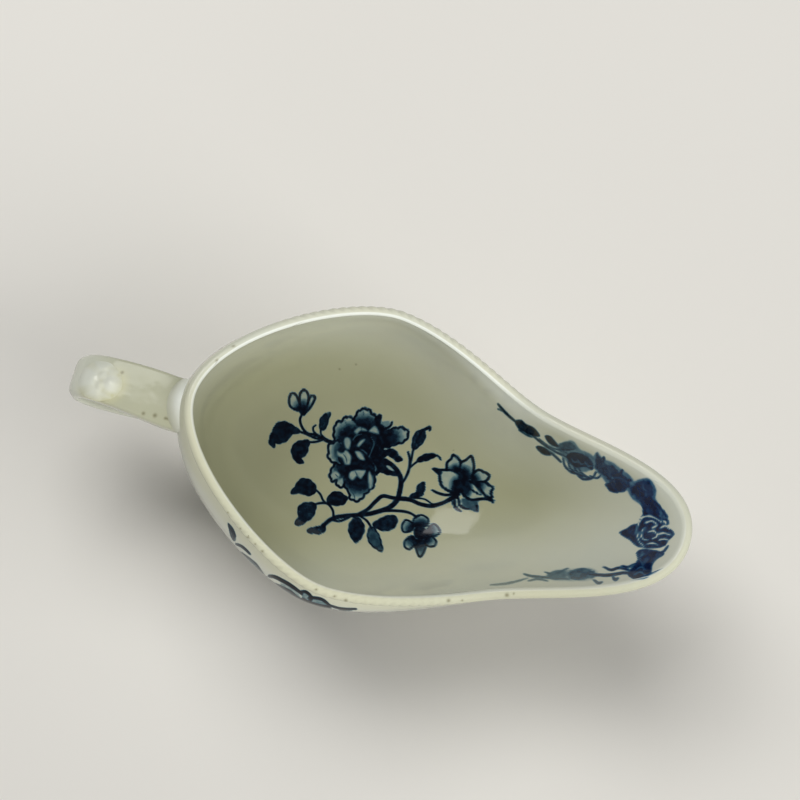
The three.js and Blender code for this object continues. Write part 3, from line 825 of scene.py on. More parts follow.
# Small iron-brown spots in the glaze: place on the sheet and radius.
BOWL_SPOTS = [
    (341, 370, 0.9), (357, 365, 0.8), (452, 451, 0.5), (214, 472, 0.6), (450, 601, 1.6), (463, 602, 1.0),
    (506, 596, 1.8), (512, 594, 1.0), (316, 591, 1.2), (335, 598, 1.2), (345, 602, 1.6), (226, 513, 1.0),
    (239, 529, 1.0), (248, 539, 1.2), (254, 544, 1.0), (262, 553, 1.3), (218, 360, 1.2), (235, 345, 1.2),
    (294, 326, 1.4),
]
STRAP_SPOTS = [(142, 412, 1.5), (155, 414, 1.8), (167, 419, 1.2), (122, 371, 1.5)]
SPOT_SEARCH = 2.0
STAIN_SHARE = 0.85


def stains(points, spots):
    """Spots round, on the surface that is uppermost at their place on the sheet."""
    sheet = sheet_of(points)
    nearness = (points - VIEW_AIM) @ VIEW_BACK
    stain = np.zeros(len(points))
    for x, y, radius in spots:
        near = np.flatnonzero(np.hypot(sheet[:, 0] - x, sheet[:, 1] - y) < SPOT_SEARCH)
        middle = points[near[np.argmax(nearness[near])]]
        gap = np.linalg.norm(points - middle, axis=1)
        stain = np.maximum(stain, STAIN_SHARE * (1 - smooth(gap, 0, 2 * radius * SHEET_UNIT)))
    return stain


def outside_strip(sheet):
    """Top of the spray on the -Y side, as far as it shows under the rim from above."""
    sheet.shape([(228, 523), (233, 528), (236, 536), (234, 541), (231, 537), (229, 530)], 0.75)
    sheet.stroke([(236, 544), (241, 546), (246, 550), (250, 554)], 2.6, 0.6, 0.85)
    sheet.shape([(241, 553), (246, 556), (250, 559), (256, 564), (261, 571), (264, 576), (257, 571),
                 (249, 563)], 0.35, rim=0.85, rim_width=1.6)
    sheet.stroke([(269, 576), (275, 577), (283, 581), (290, 585), (297, 590), (302, 594)], 3.6, 0.6)
    sheet.shape([(280, 583), (288, 586), (297, 592), (301, 598), (293, 596), (285, 590)], 0.22)
    sheet.stroke([(275, 584), (284, 588), (291, 592), (297, 597), (302, 600)], 2.6, 0.7, 0.95)
    sheet.shape([(300, 592), (308, 594), (318, 598), (330, 605), (320, 606), (306, 602)], 0.25)
    sheet.stroke([(300, 592), (306, 592), (311, 597), (309, 602), (303, 599)], 3.0, 0.9)
    sheet.stroke([(309, 598), (316, 598), (323, 600), (329, 605)], 3.0, 0.8)
    sheet.stroke([(307, 602), (314, 604), (322, 606), (330, 607)], 3.2, 0.8)
    sheet.stroke([(329, 605), (338, 608), (346, 609), (356, 609)], 2.4, 0.7)


def floor_spray(sheet):
    for part in (bud, left_leaves, peony, peony_calyx, branch, right_sprigs, lower_leaves, second_flower,
                 third_flower):
        part(sheet)


def border_washes(sheet):
    """Thin blue washes that lie under the upper side of the lip border."""
    sheet.shape([(556, 447), (564, 442), (573, 441), (580, 449), (592, 455), (596, 464), (586, 472),
                 (575, 470), (566, 461)], 0.42)
    sheet.shape([(592, 464), (597, 452), (603, 459), (612, 462), (620, 468), (628, 474), (634, 482),
                 (628, 490), (612, 490), (604, 480)], 0.42)
    sheet.shape([(628, 486), (638, 480), (650, 479), (656, 490), (656, 500), (668, 518), (656, 516),
                 (640, 504), (630, 496)], 0.5)
    sheet.shape([(545, 576), (556, 570), (572, 569), (590, 568), (598, 573), (590, 580), (570, 581),
                 (552, 580)], 0.25)


def border_upper(sheet):
    """Sprig along the upper side of the spout, from its thin end to the panel at the lip."""
    sheet.stroke([(498, 404), (503, 410), (509, 416), (516, 422)], 2.4, 0.6, 0.9)
    sheet.stroke([(498, 409), (503, 411), (508, 415)], 2.0, 0.6, 0.7)
    sheet.shape([(515, 421), (521, 420), (526, 424), (534, 428), (540, 436), (533, 436), (525, 433),
                 (518, 428)], 0.9)
    sheet.stroke([(519, 430), (527, 435), (532, 437)], 1.8, 0.6, 0.8)
    sheet.stroke([(532, 435), (543, 444), (554, 451), (566, 457)], 1.9, 0.8, 0.85)
    sheet.stroke([(539, 439), (550, 447), (562, 451), (570, 455)], 1.6, 0.8, 0.7)
    sheet.shape([(545, 436), (550, 436), (555, 441), (559, 447), (553, 446), (548, 442)], 0.9)
    sheet.shape([(536, 447), (540, 446), (547, 449), (551, 455), (545, 455), (540, 452)], 0.95)
    sheet.stroke([(550, 452), (556, 457), (561, 462)], 2.2, 0.6, 0.8)
    sheet.shape([(557, 446), (564, 442), (571, 442), (576, 447), (570, 451), (563, 450)], 0.6)
    sheet.stroke([(560, 449), (567, 450), (575, 449)], 2.4, 0.6, 0.85)


def border_rose(sheet):
    """Half-open rose of the lip border, its petals seen from the side as nested arcs."""
    sheet.shape([(566, 456), (572, 452), (580, 453), (588, 457), (593, 463), (592, 470), (585, 467),
                 (576, 468), (570, 463)], 0.92)
    for step in range(4):
        x, y = 563 + 5 * step, 458 + 1.5 * step
        sheet.stroke([(x, y), (x + 2, y + 8), (x + 8, y + 14), (x + 14, y + 16)], 1.7, 0.6, 0.9)
    for step in range(3):
        x, y = 571 + 7 * step, 458 + 2 * step
        sheet.stroke([(x, y), (x + 3, y + 4), (x + 7, y + 4)], 1.3, 0.6, 0.35, pale=True)
    sheet.stroke([(576, 473), (583, 479), (592, 478), (596, 472)], 2.0, 0.7, 0.9)
    sheet.stroke([(590, 476), (597, 478), (602, 474)], 1.8, 0.7, 0.8)


def border_leaves(sheet):
    """Crowded leaves between the rose and the panel."""
    sheet.shape([(595, 464), (597, 453), (601, 458), (604, 456), (606, 464), (612, 465), (618, 471),
                 (613, 476), (605, 474), (598, 472)], 0.72, frill=1.2)
    sheet.shape([(600, 472), (607, 470), (615, 474), (622, 470), (624, 476), (631, 480), (628, 488),
                 (621, 492), (611, 491), (606, 485), (609, 480)], 0.82, frill=1.8)
    sheet.shape([(608, 484), (616, 481), (624, 484), (622, 491), (611, 491)], 1.0, frill=1.6)
    sheet.stroke([(599, 468), (606, 470), (614, 478)], 2.0, 0.6, 0.95)
    sheet.stroke([(612, 478), (620, 478), (627, 483)], 1.4, 0.6, 0.4, pale=True)
    sheet.shape([(630, 491), (634, 485), (640, 481), (648, 481), (652, 486), (653, 494), (650, 500),
                 (640, 500), (633, 497)], 0.78, frill=1.4)
    sheet.shape([(632, 489), (639, 484), (646, 490), (642, 498), (634, 495)], 1.0, frill=1.2)
    sheet.stroke([(641, 487), (646, 491), (645, 497)], 1.6, 0.6, 0.5, pale=True)


PANEL_SCROLLS = [
    [(643, 517), (638, 525), (637, 533), (639, 541), (644, 547)],
    [(641, 518), (648, 516), (655, 518), (661, 522)], [(645, 523), (652, 521), (657, 525), (652, 528)],
    [(644, 528), (641, 533), (643, 539), (648, 540)], [(648, 532), (654, 531), (657, 536), (652, 539)],
    [(660, 528), (665, 526), (669, 529)], [(659, 534), (664, 533), (670, 535)],
    [(659, 540), (664, 539), (668, 540)], [(647, 544), (653, 543), (658, 545)],
]


def border_panel(sheet):
    """Lozenge panel of scrolls in the middle of the lip."""
    sheet.shape([(640, 498), (651, 497), (655, 505), (660, 511), (657, 519), (644, 519), (643, 510)], 0.95)
    sheet.stroke([(653, 500), (660, 508), (667, 517)], 2.8, 0.8, 0.95)
    sheet.shape([(620, 533), (626, 529), (632, 525), (638, 523), (642, 516), (650, 514), (659, 516),
                 (663, 522), (669, 528), (674, 534), (669, 540), (664, 546), (655, 548), (645, 548),
                 (637, 546), (630, 540)], 0.95)
    sheet.stroke([(655, 521), (661, 519), (667, 520), (668, 524)], 1.8, 0.7, 0.9)
    for stops in PANEL_SCROLLS:
        sheet.stroke(stops, 2.5, 0.7, 0.04, pale=True)


NECK_SCROLLS = [
    [(643, 552), (640, 559), (643, 565)], [(636, 570), (641, 567), (646, 570)],
    [(634, 575), (640, 572), (645, 575)],
]


def border_neck(sheet):
    """Scrolled piece under the panel, and the flower at the turn of the lower side."""
    sheet.shape([(637, 552), (645, 549), (657, 551), (664, 554), (656, 560), (652, 566), (650, 575),
                 (641, 579), (632, 578), (628, 573), (633, 566), (638, 560)], 0.86)
    sheet.stroke([(658, 554), (664, 551), (668, 546)], 2.2, 0.7, 0.9)
    sheet.stroke([(634, 564), (628, 567), (622, 566)], 2.0, 0.7, 0.9)
    for stops in NECK_SCROLLS:
        sheet.stroke(stops, 1.9, 0.6, 0.3, pale=True)


def border_lower(sheet):
    """Sprig along the lower side, fainter towards its thin end."""
    sheet.stroke([(604, 567), (611, 570), (618, 568), (625, 569), (632, 571)], 2.2, 0.6, 0.9)
    sheet.stroke([(588, 574), (598, 575), (610, 575), (622, 573), (632, 573)], 2.8, 0.7, 0.85)
    sheet.stroke([(594, 580), (598, 583), (602, 582)], 2.2, 0.6, 0.75)
    sheet.stroke([(612, 575), (615, 580), (618, 578)], 2.0, 0.7, 0.8)
    sheet.shape([(568, 573), (576, 569), (585, 568), (591, 571), (589, 577), (580, 580), (571, 579)], 0.5)
    for step in range(4):
        x = 569 + 6 * step
        sheet.stroke([(x, 576), (x + 3, 572), (x + 7, 573), (x + 5, 578)], 1.4, 0.6, 0.75)
    sheet.shape([(548, 574), (556, 570), (564, 571), (566, 577), (558, 580), (550, 579)], 0.4)
    sheet.stroke([(545, 572), (552, 574), (560, 572), (568, 568)], 1.6, 0.6, 0.6)
    sheet.stroke([(524, 574), (531, 576), (540, 577), (552, 578), (568, 579)], 2.6, 0.6, 0.5)
    sheet.stroke([(528, 581), (538, 579), (548, 581)], 2.2, 0.5, 0.45)
    sheet.stroke([(490, 585), (503, 584), (514, 582), (528, 578)], 2.4, 0.4, 0.4)


def lip_border(sheet):
    for part in (border_upper, border_rose, border_leaves, border_panel, border_neck, border_lower):
        part(sheet)


def at(x, z):
    """Place in the plane that parts the boat's two sides."""
    return np.array([x, 0, z])


def rear_wall_at(z):
    """Place on the outside of the bowl, at the handle end, at a height."""
    line = outside(np.zeros(1), np.linspace(0, 1, OUTLINE_STEPS))[:, 0]
    return at(np.interp(z, line[:, 2], line[:, 0]), z)


STRAP_START = rear_wall_at(REAR_HEIGHT - HANDLE_TOP_DROP) + AHEAD * (KNUCKLE_SINK - KNUCKLE_RADIUS)
FAR_X = REAR_X - HANDLE_REACH + STRAP_THICKNESS / 2


def strap_line():
    """Middle line of the strap and the length along it, and the length to its far turn."""
    far = at(FAR_X, HANDLE_TURN_HEIGHT)
    end = rear_wall_at(HANDLE_LOW_HEIGHT)
    leave = at(mix(STRAP_START[0], FAR_X, STRAP_TOP_RUN), STRAP_START[2] - STRAP_SAG)
    arrive = at(mix(end[0], FAR_X, STRAP_RETURN_RUN), HANDLE_LOW_HEIGHT + STRAP_SAG)
    shoulder = UP * STRAP_SHOULDER
    t = np.linspace(0, 1, OUTLINE_STEPS)[:, None]
    upper = bezier(STRAP_START, leave, far + shoulder, far, t)
    lower = bezier(far, far - shoulder, arrive, end, t)
    line = np.vstack([upper, lower[1:]])
    along = np.concatenate([[0], np.cumsum(np.linalg.norm(np.diff(line, axis=0), axis=1))])
    return line, along, along[len(upper) - 1]


STRAP_LINE, STRAP_ALONG, TURN_ALONG = strap_line()
STRAP_LENGTH = STRAP_ALONG[-1]


def on_strap(along, across, height):
    """Places by length along the strap, across it, and height over its middle line."""
    step = STRAP_LENGTH / OUTLINE_STEPS
    along, across, height = np.broadcast_arrays(along, across, height)
    # The ease is half run at the start, where the whole shift is wanted.
    across = across - HANDLE_ASIDE * (1 - smooth(along, -TURN_ALONG, TURN_ALONG)) * 2
    spots = [np.stack([np.interp(along + shift, STRAP_ALONG, STRAP_LINE[:, k]) for k in range(3)], -1)
             for shift in (-step, 0, step)]
    tangent = unit(spots[2] - spots[0])
    face = np.stack([tangent[..., 2], 0 * along, -tangent[..., 0]], -1)
    return spots[1] + face * height[..., None] + ASIDE * across[..., None]


def strap_width(along):
    before = mix(STRAP_WIDTH, STRAP_TURN_WIDTH, smooth(along, 0, TURN_ALONG))
    return mix(before, STRAP_LOW_WIDTH, smooth(along, TURN_ALONG, STRAP_LENGTH))


def wall_bend(across):
    """How much farther forward the wall is at a place beside the boat's middle, at the handle end."""
    return across ** 2 / (2 * REAR_RADIUS)


def strap_section(here, wide):
    """Closed outline across the strap: a flat top between two bevels, and a flatter back."""
    half = STRAP_THICKNESS / 2
    bevel = mix(STRAP_BEVEL, STRAP_TURN_BEVEL, smooth(here, SHELL_ALONG, TURN_ALONG))
    side = [(wide - bevel, half), (wide, half - bevel),
            (wide, STRAP_BACK_BEVEL - half), (wide - STRAP_BACK_BEVEL, -half)]
    return rounded(np.array([(-y, h) for y, h in side] + side[::-1], float), STRAP_EDGE)


def strap():
    """Strap with softened edges, glaze pooled with painted shade round the shell on it, and painted shade
    over its top before the far turn.
    """
    half = STRAP_THICKNESS / 2
    along = np.linspace(0, STRAP_LENGTH, STRAP_ROWS)
    rows, pools_and_shade, strap_shades = [], [], []
    for here, wide in zip(along, strap_width(along) / 2):
        across, height = strap_section(here, wide).T
        rows.append(on_strap(here, across, height))
        # Glaze pooled with painted shade round the shell, on one side of it.
        ring = np.hypot((here - SHELL_ALONG) / SHELL_LENGTH, (across + SHELL_ASIDE) / SHELL_WIDTH) * 2
        towards = smooth((SHELL_ALONG - here) / SHELL_LENGTH - across / SHELL_WIDTH, *SHADED_SIDE_TOWARDS)
        pools_and_shade.append(POOL_AND_SHADE_AT_SHELL * towards * np.exp(-((ring - 1) / POOL_AND_SHADE_SPREAD) ** 2) * (height > 0))
        # Painted shade over the strap's top, fading before the far turn.
        strap_shades.append(STRAP_PAINTED_SHADE * smooth(height, 0, half) * (1 - smooth(here, *SHADE_TO_TURN)))
    rows.insert(0, rows[0] + np.outer(STRAP_INTO_WALL + wall_bend(rows[0][:, 1]), AHEAD))
    pools_and_shade.insert(0, pools_and_shade[0])
    strap_shades.insert(0, strap_shades[0])
    piece = surface("strap_soft", np.array(rows))
    tint(piece, "pool_and_shade", np.concatenate(pools_and_shade))
    tint(piece, "painted_shade", np.concatenate(strap_shades))
    tint(piece, "stain", stains(points_of(piece), STRAP_SPOTS))
    return piece


def rounded(corners, share):
    """Closed outline with each corner turned into a short curve, in even steps."""
    before, after = np.roll(corners, 1, 0), np.roll(corners, -1, 0)
    t = np.linspace(0, 1, CORNER_STEPS)[:, None]
    turns = []
    for a, b, c in zip(before, corners, after):
        start, end = mix(b, a, share), mix(b, c, share)
        turns.append((1 - t) ** 2 * start + 2 * t * (1 - t) * b + t * t * end)
    line = np.vstack(turns + [turns[0][:1]])
    length = lengths_along(line)
    even = np.linspace(0, length[-1], SECTION_POINTS, endpoint=False)
    return np.stack([np.interp(even, length, line[:, k]) for k in (0, 1)], -1)


def knuckle():
    """Rolled barrel that lies across the strap's start, pressed against the wall, with a painted highlight
    on its crest and painted shade on its strap side.
    """
    turn = np.linspace(-math.pi / 2, math.pi / 2, KNUCKLE_ROWS)
    angle = 2 * math.pi * np.arange(KNUCKLE_COLUMNS) / KNUCKLE_COLUMNS
    radius = KNUCKLE_SHOWN * np.maximum(np.cos(turn), CLOSED_TURN) ** KNUCKLE_SQUARENESS
    rows, painted_lights, knuckle_shades = [], [], []
    for reach, across in zip(radius, KNUCKLE_LENGTH / 2 * np.sin(turn)):
        at_wall = np.cos(angle) > 0
        x = reach * np.cos(angle) * np.where(at_wall, KNUCKLE_PRESS, KNUCKLE_SPILL)
        z = reach * np.sin(angle) * np.abs(np.sin(angle)) ** np.where(at_wall, 0, KNUCKLE_FOOT - 1)
        middle = [KNUCKLE_SHIFT + wall_bend(across - HANDLE_ASIDE), -HANDLE_ASIDE, KNUCKLE_RAISE]
        rows.append(STRAP_START + middle + np.stack([x, across + 0 * angle, z], -1))
        # Painted highlight on the crest; painted shade on the strap side, like on the strap's top.
        crest = np.exp(-((x - KNUCKLE_HIGHLIGHT[0]) / KNUCKLE_HIGHLIGHT_SIZE[0]) ** 2
                       - ((across - KNUCKLE_HIGHLIGHT[1]) / KNUCKLE_HIGHLIGHT_SIZE[1]) ** 2)
        painted_lights.append(crest)
        knuckle_shades.append(STRAP_PAINTED_SHADE * smooth(-x, 0, KNUCKLE_SHOWN))
    piece = surface("knuckle_soft", np.array(rows))
    tint(piece, "painted_light", np.concatenate(painted_lights))
    tint(piece, "painted_shade", np.concatenate(knuckle_shades))
    return piece


def tongue():
    """Tongue on the belly at the strap's lower end, with a tail that curls away below."""
    tail = rear_wall_at(HANDLE_LOW_HEIGHT - TERMINAL_LENGTH / 2)
    stops = [rear_wall_at(HANDLE_LOW_HEIGHT + TERMINAL_LENGTH / 2), rear_wall_at(HANDLE_LOW_HEIGHT),
             tail - AHEAD * TAIL_LIFT * TAIL_START, tail + [-TAIL_LIFT, 0, TAIL_RISE]]
    line = curve_through(stops, steps=TONGUE_ROWS)
    tangent = unit(np.gradient(line, axis=0))
    face = np.stack([tangent[:, 2], 0 * tangent[:, 0], -tangent[:, 0]], -1)
    part = np.linspace(0, 1, len(line))
    full = np.sqrt(np.sin(mix(TERMINAL_END_ANGLE, math.pi - TERMINAL_END_ANGLE, part)))
    full[[0, -1]] = CLOSED_END
    angle = 2 * math.pi * np.arange(KNUCKLE_COLUMNS) / KNUCKLE_COLUMNS
    across = -np.outer(full * TERMINAL_WIDTH / 2, np.sin(angle))
    flatness = np.where(np.cos(angle) > 0, 1, TERMINAL_BACK)
    height = np.outer(full * TERMINAL_THICKNESS / 2, flatness * np.cos(angle))
    rows = line[:, None] + face[:, None] * height[..., None] + ASIDE * across[..., None]
    return surface("tongue_soft", rows)


def shell_relief(far, fan, part):
    """Height of lobes and knob, ridges between the flutes, and step round the inner lobes."""
    outer = smooth(far, INNER_LOBES - LOBE_STEP, INNER_LOBES + LOBE_STEP)
    ridge = mix(np.cos(SHELL_FLUTES * fan + math.pi), np.cos(SHELL_FLUTES * fan), outer)
    ridge = ridge * smooth(far, KNOB_REACH, 2 * KNOB_REACH)
    step = np.exp(-((far - INNER_LOBES) / LOBE_STEP) ** 2)
    dome = (1 - part ** 2) ** SHELL_FULLNESS
    height = SHELL_HEIGHT * dome * (1 + SHELL_FLUTE * ridge - LOBE_DIP * step)
    return height + KNOB_HEIGHT * np.exp(-(far / KNOB_REACH) ** 2) * dome ** 0.5, ridge, step


def shell():
    """Low shell with two rows of lobes fanned out from a knob, melted into the strap by the glaze, with
    painted light on it and glaze pooled with painted shade in its hollows.
    """
    angle = 2 * math.pi * np.arange(SHELL_COLUMNS) / SHELL_COLUMNS
    knob = -SHELL_LENGTH / 2 + KNOB_INSET
    knob_shade_at, knob_shade_spread = (share * KNOB_REACH for share in KNOB_POOL_AND_SHADE)
    rows, pools_and_shade, painted_lights = [], [], []
    for part in np.linspace(1, 0, SHELL_ROWS):
        edge = part * (1 + SHELL_SCALLOP * np.cos(SHELL_LOBES * angle) * part)
        along = -edge * SHELL_LENGTH / 2 * np.cos(angle)
        across = -edge * SHELL_WIDTH / 2 * np.sin(angle)
        far = np.hypot(across, along - knob)
        height, ridge, step = shell_relief(far, np.arctan2(across, along - knob), part)
        base = STRAP_THICKNESS / 2 - SHELL_SINK
        rows.append(on_strap(SHELL_ALONG + along, across - SHELL_ASIDE, base + height))
        # Painted light on the middle; glaze pooled with painted shade in the flutes, round the knob and
        # along one side of the edge.
        painted_lights.append(np.full(SHELL_COLUMNS, SHELL_PAINTED_LIGHT * smooth(1 - part, *SHELL_PAINTED_LIGHT_FROM)))
        towards = smooth(-along / SHELL_LENGTH - across / SHELL_WIDTH, *SHADED_SIDE_TOWARDS)
        ring = np.exp(-((far - knob_shade_at) / knob_shade_spread) ** 2)
        pools_and_shade.append(FLUTE_POOL_AND_SHADE * np.maximum(smooth(-ridge, *FLUTE_POOL_AND_SHADE_FROM), step)
                     + POOL_AND_SHADE_AT_SHELL * towards * np.maximum(ring, part ** EDGE_POOL_AND_SHADE_POWER))
    piece = surface("shell_soft", np.array(rows))
    tint(piece, "painted_light", np.concatenate(painted_lights))
    tint(piece, "pool_and_shade", np.clip(np.concatenate(pools_and_shade), 0, 1))
    return piece


def foot():
    """Foot ring that flares to its tread."""
    part = np.linspace(0, 1, FOOT_ROWS)
    flare = FOOT_SPREAD * part ** FOOT_FLARE_POWER
    heights = mix(FOOT_HEIGHT, FOOT_TREAD_HEIGHT, part)
    outer = list(zip(flare, heights))
    outer += [(FOOT_SPREAD, FOOT_TREAD_ROUND), (FOOT_SPREAD - FOOT_TREAD_ROUND, 0)]
    inner = [(out - FOOT_RING_WIDTH + FOOT_TREAD_ROUND * (z == 0) * 2, z) for out, z in reversed(outer)]
    u = np.arange(FOOT_COLUMNS) / FOOT_COLUMNS
    rows = [oval_at(u, FOOT_TOP_HALF_LENGTH + out, FOOT_TOP_HALF_WIDTH + out, z)
            for out, z in outer + inner]
    return surface("foot_soft", np.array(rows)[::-1], endless=True)


class Looks:
    """One material and short ways to add nodes to it."""

    def __init__(self, name):
        self.material = bpy.data.materials.new(name)
        self.material.use_nodes = True
        self.nodes = self.material.node_tree.nodes
        self.links = self.material.node_tree.links
        self.shader = self.nodes["Principled BSDF"]

    def node(self, kind, inputs=(), **settings):
        made = self.nodes.new("ShaderNode" + kind)
        for key, value in settings.items():
            setattr(made, key, value)
        for key, value in dict(inputs).items():
            if isinstance(value, bpy.types.NodeSocket):
                self.links.new(value, made.inputs[key])
            else:
                made.inputs[key].default_value = value
        return made

    def attribute(self, name):
        return self.node("Attribute", attribute_name=name).outputs["Fac"]

    def place(self):
        return self.node("TexCoord").outputs["Object"]

    def along(self, axis):
        return self.node("SeparateXYZ", {"Vector": self.place()}).outputs[axis]

    def noise(self, scale, detail):
        settings = {"Vector": self.place(), "Scale": scale, "Detail": detail}
        return self.node("TexNoise", settings).outputs["Fac"]

    def clouds(self, noise, spread):
        return self.between(self.noise(*noise), *spread)

    def between(self, value, low, high, start=0.0, end=1.0):
        settings = {"Value": value, "From Min": low, "From Max": high, "To Min": start, "To Max": end}
        return self.node("MapRange", settings).outputs["Result"]

    def math(self, kind, a, b):
        return self.node("Math", {0: a, 1: b}, operation=kind).outputs[0]

    def blend(self, share, a, b):
        return self.node("MixRGB", {"Fac": share, "Color1": a, "Color2": b}).outputs["Color"]

    def ramp(self, value, stops):
        made = self.node("ValToRGB", {"Fac": value})
        ramp = made.color_ramp
        while len(ramp.elements) < len(stops):
            ramp.elements.new(1)
        for element, (place, colour) in zip(ramp.elements, stops):
            element.position = place
            element.color = (*colour, 1)
        return made.outputs["Color"]

    def relief(self, height, depth, share):
        bump = self.node("Bump", {"Height": height, "Distance": depth, "Strength": share})
        self.links.new(bump.outputs["Normal"], self.shader.inputs["Normal"])

    def feed(self, name, value):
        """Puts a number or another node's output into one of the shader's inputs."""
        if isinstance(value, bpy.types.NodeSocket):
            self.links.new(value, self.shader.inputs[name])
        else:
            self.shader.inputs[name].default_value = value


# Colours, as linear light. The glaze is tinted, with its painted shade, its pooled glaze with painted shade
# and its painted light, and the ink goes from thin to dark.
GLAZE_COOL = (0.53, 0.545, 0.465, 1)
GLAZE_WARM = (0.56, 0.56, 0.455, 1)
GLAZE_PAINTED_SHADE = (0.315, 0.315, 0.20, 1)
GLAZE_PAINTED_LIGHT = (0.72, 0.74, 0.67, 1)
GLAZE_POOL_AND_SHADE = (0.45, 0.44, 0.28, 1)
SPECK = (0.035, 0.025, 0.014, 1)
STAIN = (0.15, 0.135, 0.07, 1)
INK = [(0.0, (0.30, 0.38, 0.36)), (0.25, (0.10, 0.17, 0.18)), (0.5, (0.02, 0.055, 0.075)),
       (0.75, (0.002, 0.010, 0.022)), (1.0, (0.0002, 0.0008, 0.004))]
LIP_INK = [(0.0, (0.20, 0.31, 0.35)), (0.3, (0.03, 0.10, 0.17)), (0.6, (0.002, 0.02, 0.075)),
           (1.0, (0.0004, 0.003, 0.028))]
BARE_CLEAN = (0.55, 0.5, 0.38, 1)
BARE_RUBBED = (0.34, 0.27, 0.17, 1)
PAPER = (0.80, 0.775, 0.715, 1)
PAPER_PALE = (0.83, 0.805, 0.745, 1)
ROOM_COLOUR = (0.8, 0.85, 0.95, 1)

# Noise in the looks: its scale per metre and detail, then the range that counts and what that becomes.
GLAZE_CLOUDS = (30, 3), (0.35, 0.65)
INK_FINE = (650, 3), (0.35, 0.62, 0.82, 1.1)
INK_MOTTLED = (430, 4), (0.36, 0.6, 0.62, 1.12)
BARE_CLOUDS = (260, 4), (0.45, 0.7)
GLAZE_WANDER = (90, 2), (0.3, 0.7, -0.0004, 0.0004)
PAPER_CLOUDS = (3, 2), (0.3, 0.7)
GLAZE_RIPPLE = (140, 2)
BARE_GRAIN = (1500, 2)

# Other values of the looks. Lengths are in metres from here on.
RIPPLE_DEPTH = 0.0004
RIPPLE_SHARE = 0.25
GRAIN_DEPTH = 0.0002
GRAIN_SHARE = 0.4
GLAZE_ROUGHNESS = 0.09
GLAZE_SHINE = 0.5
GLAZE_IOR = 1.5
BARE_ROUGHNESS = 0.8
PAPER_ROUGHNESS = 0.85
LIP_PRINT = (0.05, 0.086)
INK_SHOWS = (0.03, 0.25)
SPECK_CELLS = 95
SPECK_RADIUS = 0.022
SPECKED_CELLS = 0.2
SPECK_TONE = 0.7
GLAZE_ENDS = (0.0014, 0.002)


def inked(look, body):
    """The print over the body, finer on the floor and more mottled and bluer at the lip."""
    near_lip = look.between(look.along("X"), *LIP_PRINT)
    grain = look.blend(near_lip, look.clouds(*INK_FINE), look.clouds(*INK_MOTTLED))
    ink = look.math("MULTIPLY", look.attribute("ink"), grain)
    colour = look.blend(near_lip, look.ramp(ink, INK), look.ramp(ink, LIP_INK))
    return look.blend(look.between(ink, *INK_SHOWS), body, colour)


def specked(look, body):
    """Small dark specks, one in the middle of some of the cells of a random pattern."""
    cells = look.node("TexVoronoi", {"Vector": look.place(), "Scale": SPECK_CELLS})
    pick = look.node("SeparateColor", {"Color": cells.outputs["Color"]}).outputs["Red"]
    speck = look.math("MULTIPLY", look.math("LESS_THAN", cells.outputs["Distance"], SPECK_RADIUS),
                      look.math("LESS_THAN", pick, SPECKED_CELLS))
    return look.blend(look.math("MULTIPLY", speck, SPECK_TONE), body, SPECK)


def glaze():
    """Clear, faintly green glaze over the body, with the print under it, and painted shade, glaze pooled
    with painted shade, and painted light in its colour.
    """
    look = Looks("glaze")
    body = look.blend(look.clouds(*GLAZE_CLOUDS), GLAZE_COOL, GLAZE_WARM)
    # Painted shade, glaze pooled with painted shade, and painted light, mixed in by their shares.
    for name, colour in (("painted_shade", GLAZE_PAINTED_SHADE), ("pool_and_shade", GLAZE_POOL_AND_SHADE), ("painted_light", GLAZE_PAINTED_LIGHT)):
        body = look.blend(look.attribute(name), body, colour)
    body = look.blend(look.attribute("stain"), inked(look, body), STAIN)
    look.feed("Base Color", specked(look, body))
    look.feed("Roughness", GLAZE_ROUGHNESS)
    look.feed("Specular IOR Level", look.between(look.attribute("dull"), 0, 1, GLAZE_SHINE, 0))
    look.feed("IOR", GLAZE_IOR)
    look.relief(look.noise(*GLAZE_RIPPLE), RIPPLE_DEPTH, RIPPLE_SHARE)
    return look.material


def biscuit():
    """Bare body on the foot's tread, rubbed and a little stained, and the glaze that ends just above it."""
    look = Looks("biscuit")
    bare = look.blend(look.clouds(*BARE_CLOUDS), BARE_CLEAN, BARE_RUBBED)
    edge = look.math("ADD", look.along("Z"), look.clouds(*GLAZE_WANDER))
    glazed = look.between(edge, *GLAZE_ENDS)
    look.feed("Base Color", look.blend(glazed, bare, GLAZE_COOL))
    look.feed("Roughness", look.between(glazed, 0, 1, BARE_ROUGHNESS, GLAZE_ROUGHNESS))
    look.relief(look.noise(*BARE_GRAIN), GRAIN_DEPTH, look.between(glazed, 0, 1, GRAIN_SHARE, 0))
    return look.material


def paper():
    look = Looks("floor_paper")
    look.feed("Base Color", look.blend(look.clouds(*PAPER_CLOUDS), PAPER, PAPER_PALE))
    look.feed("Roughness", PAPER_ROUGHNESS)
    return look.material


# What makes each piece, the solid it stands for, and its material slot.
PIECES = [
    (bowl_inside, "bowl", "glaze"),
    (bowl_outside, "bowl", "glaze"),
    (strap, "handle_strap", "glaze"),
    (knuckle, "upper_terminal", "glaze"),
    (tongue, "lower_terminal", "glaze"),
    (shell, "thumb_rest", "glaze"),
    (foot, "foot_ring", "biscuit"),
]

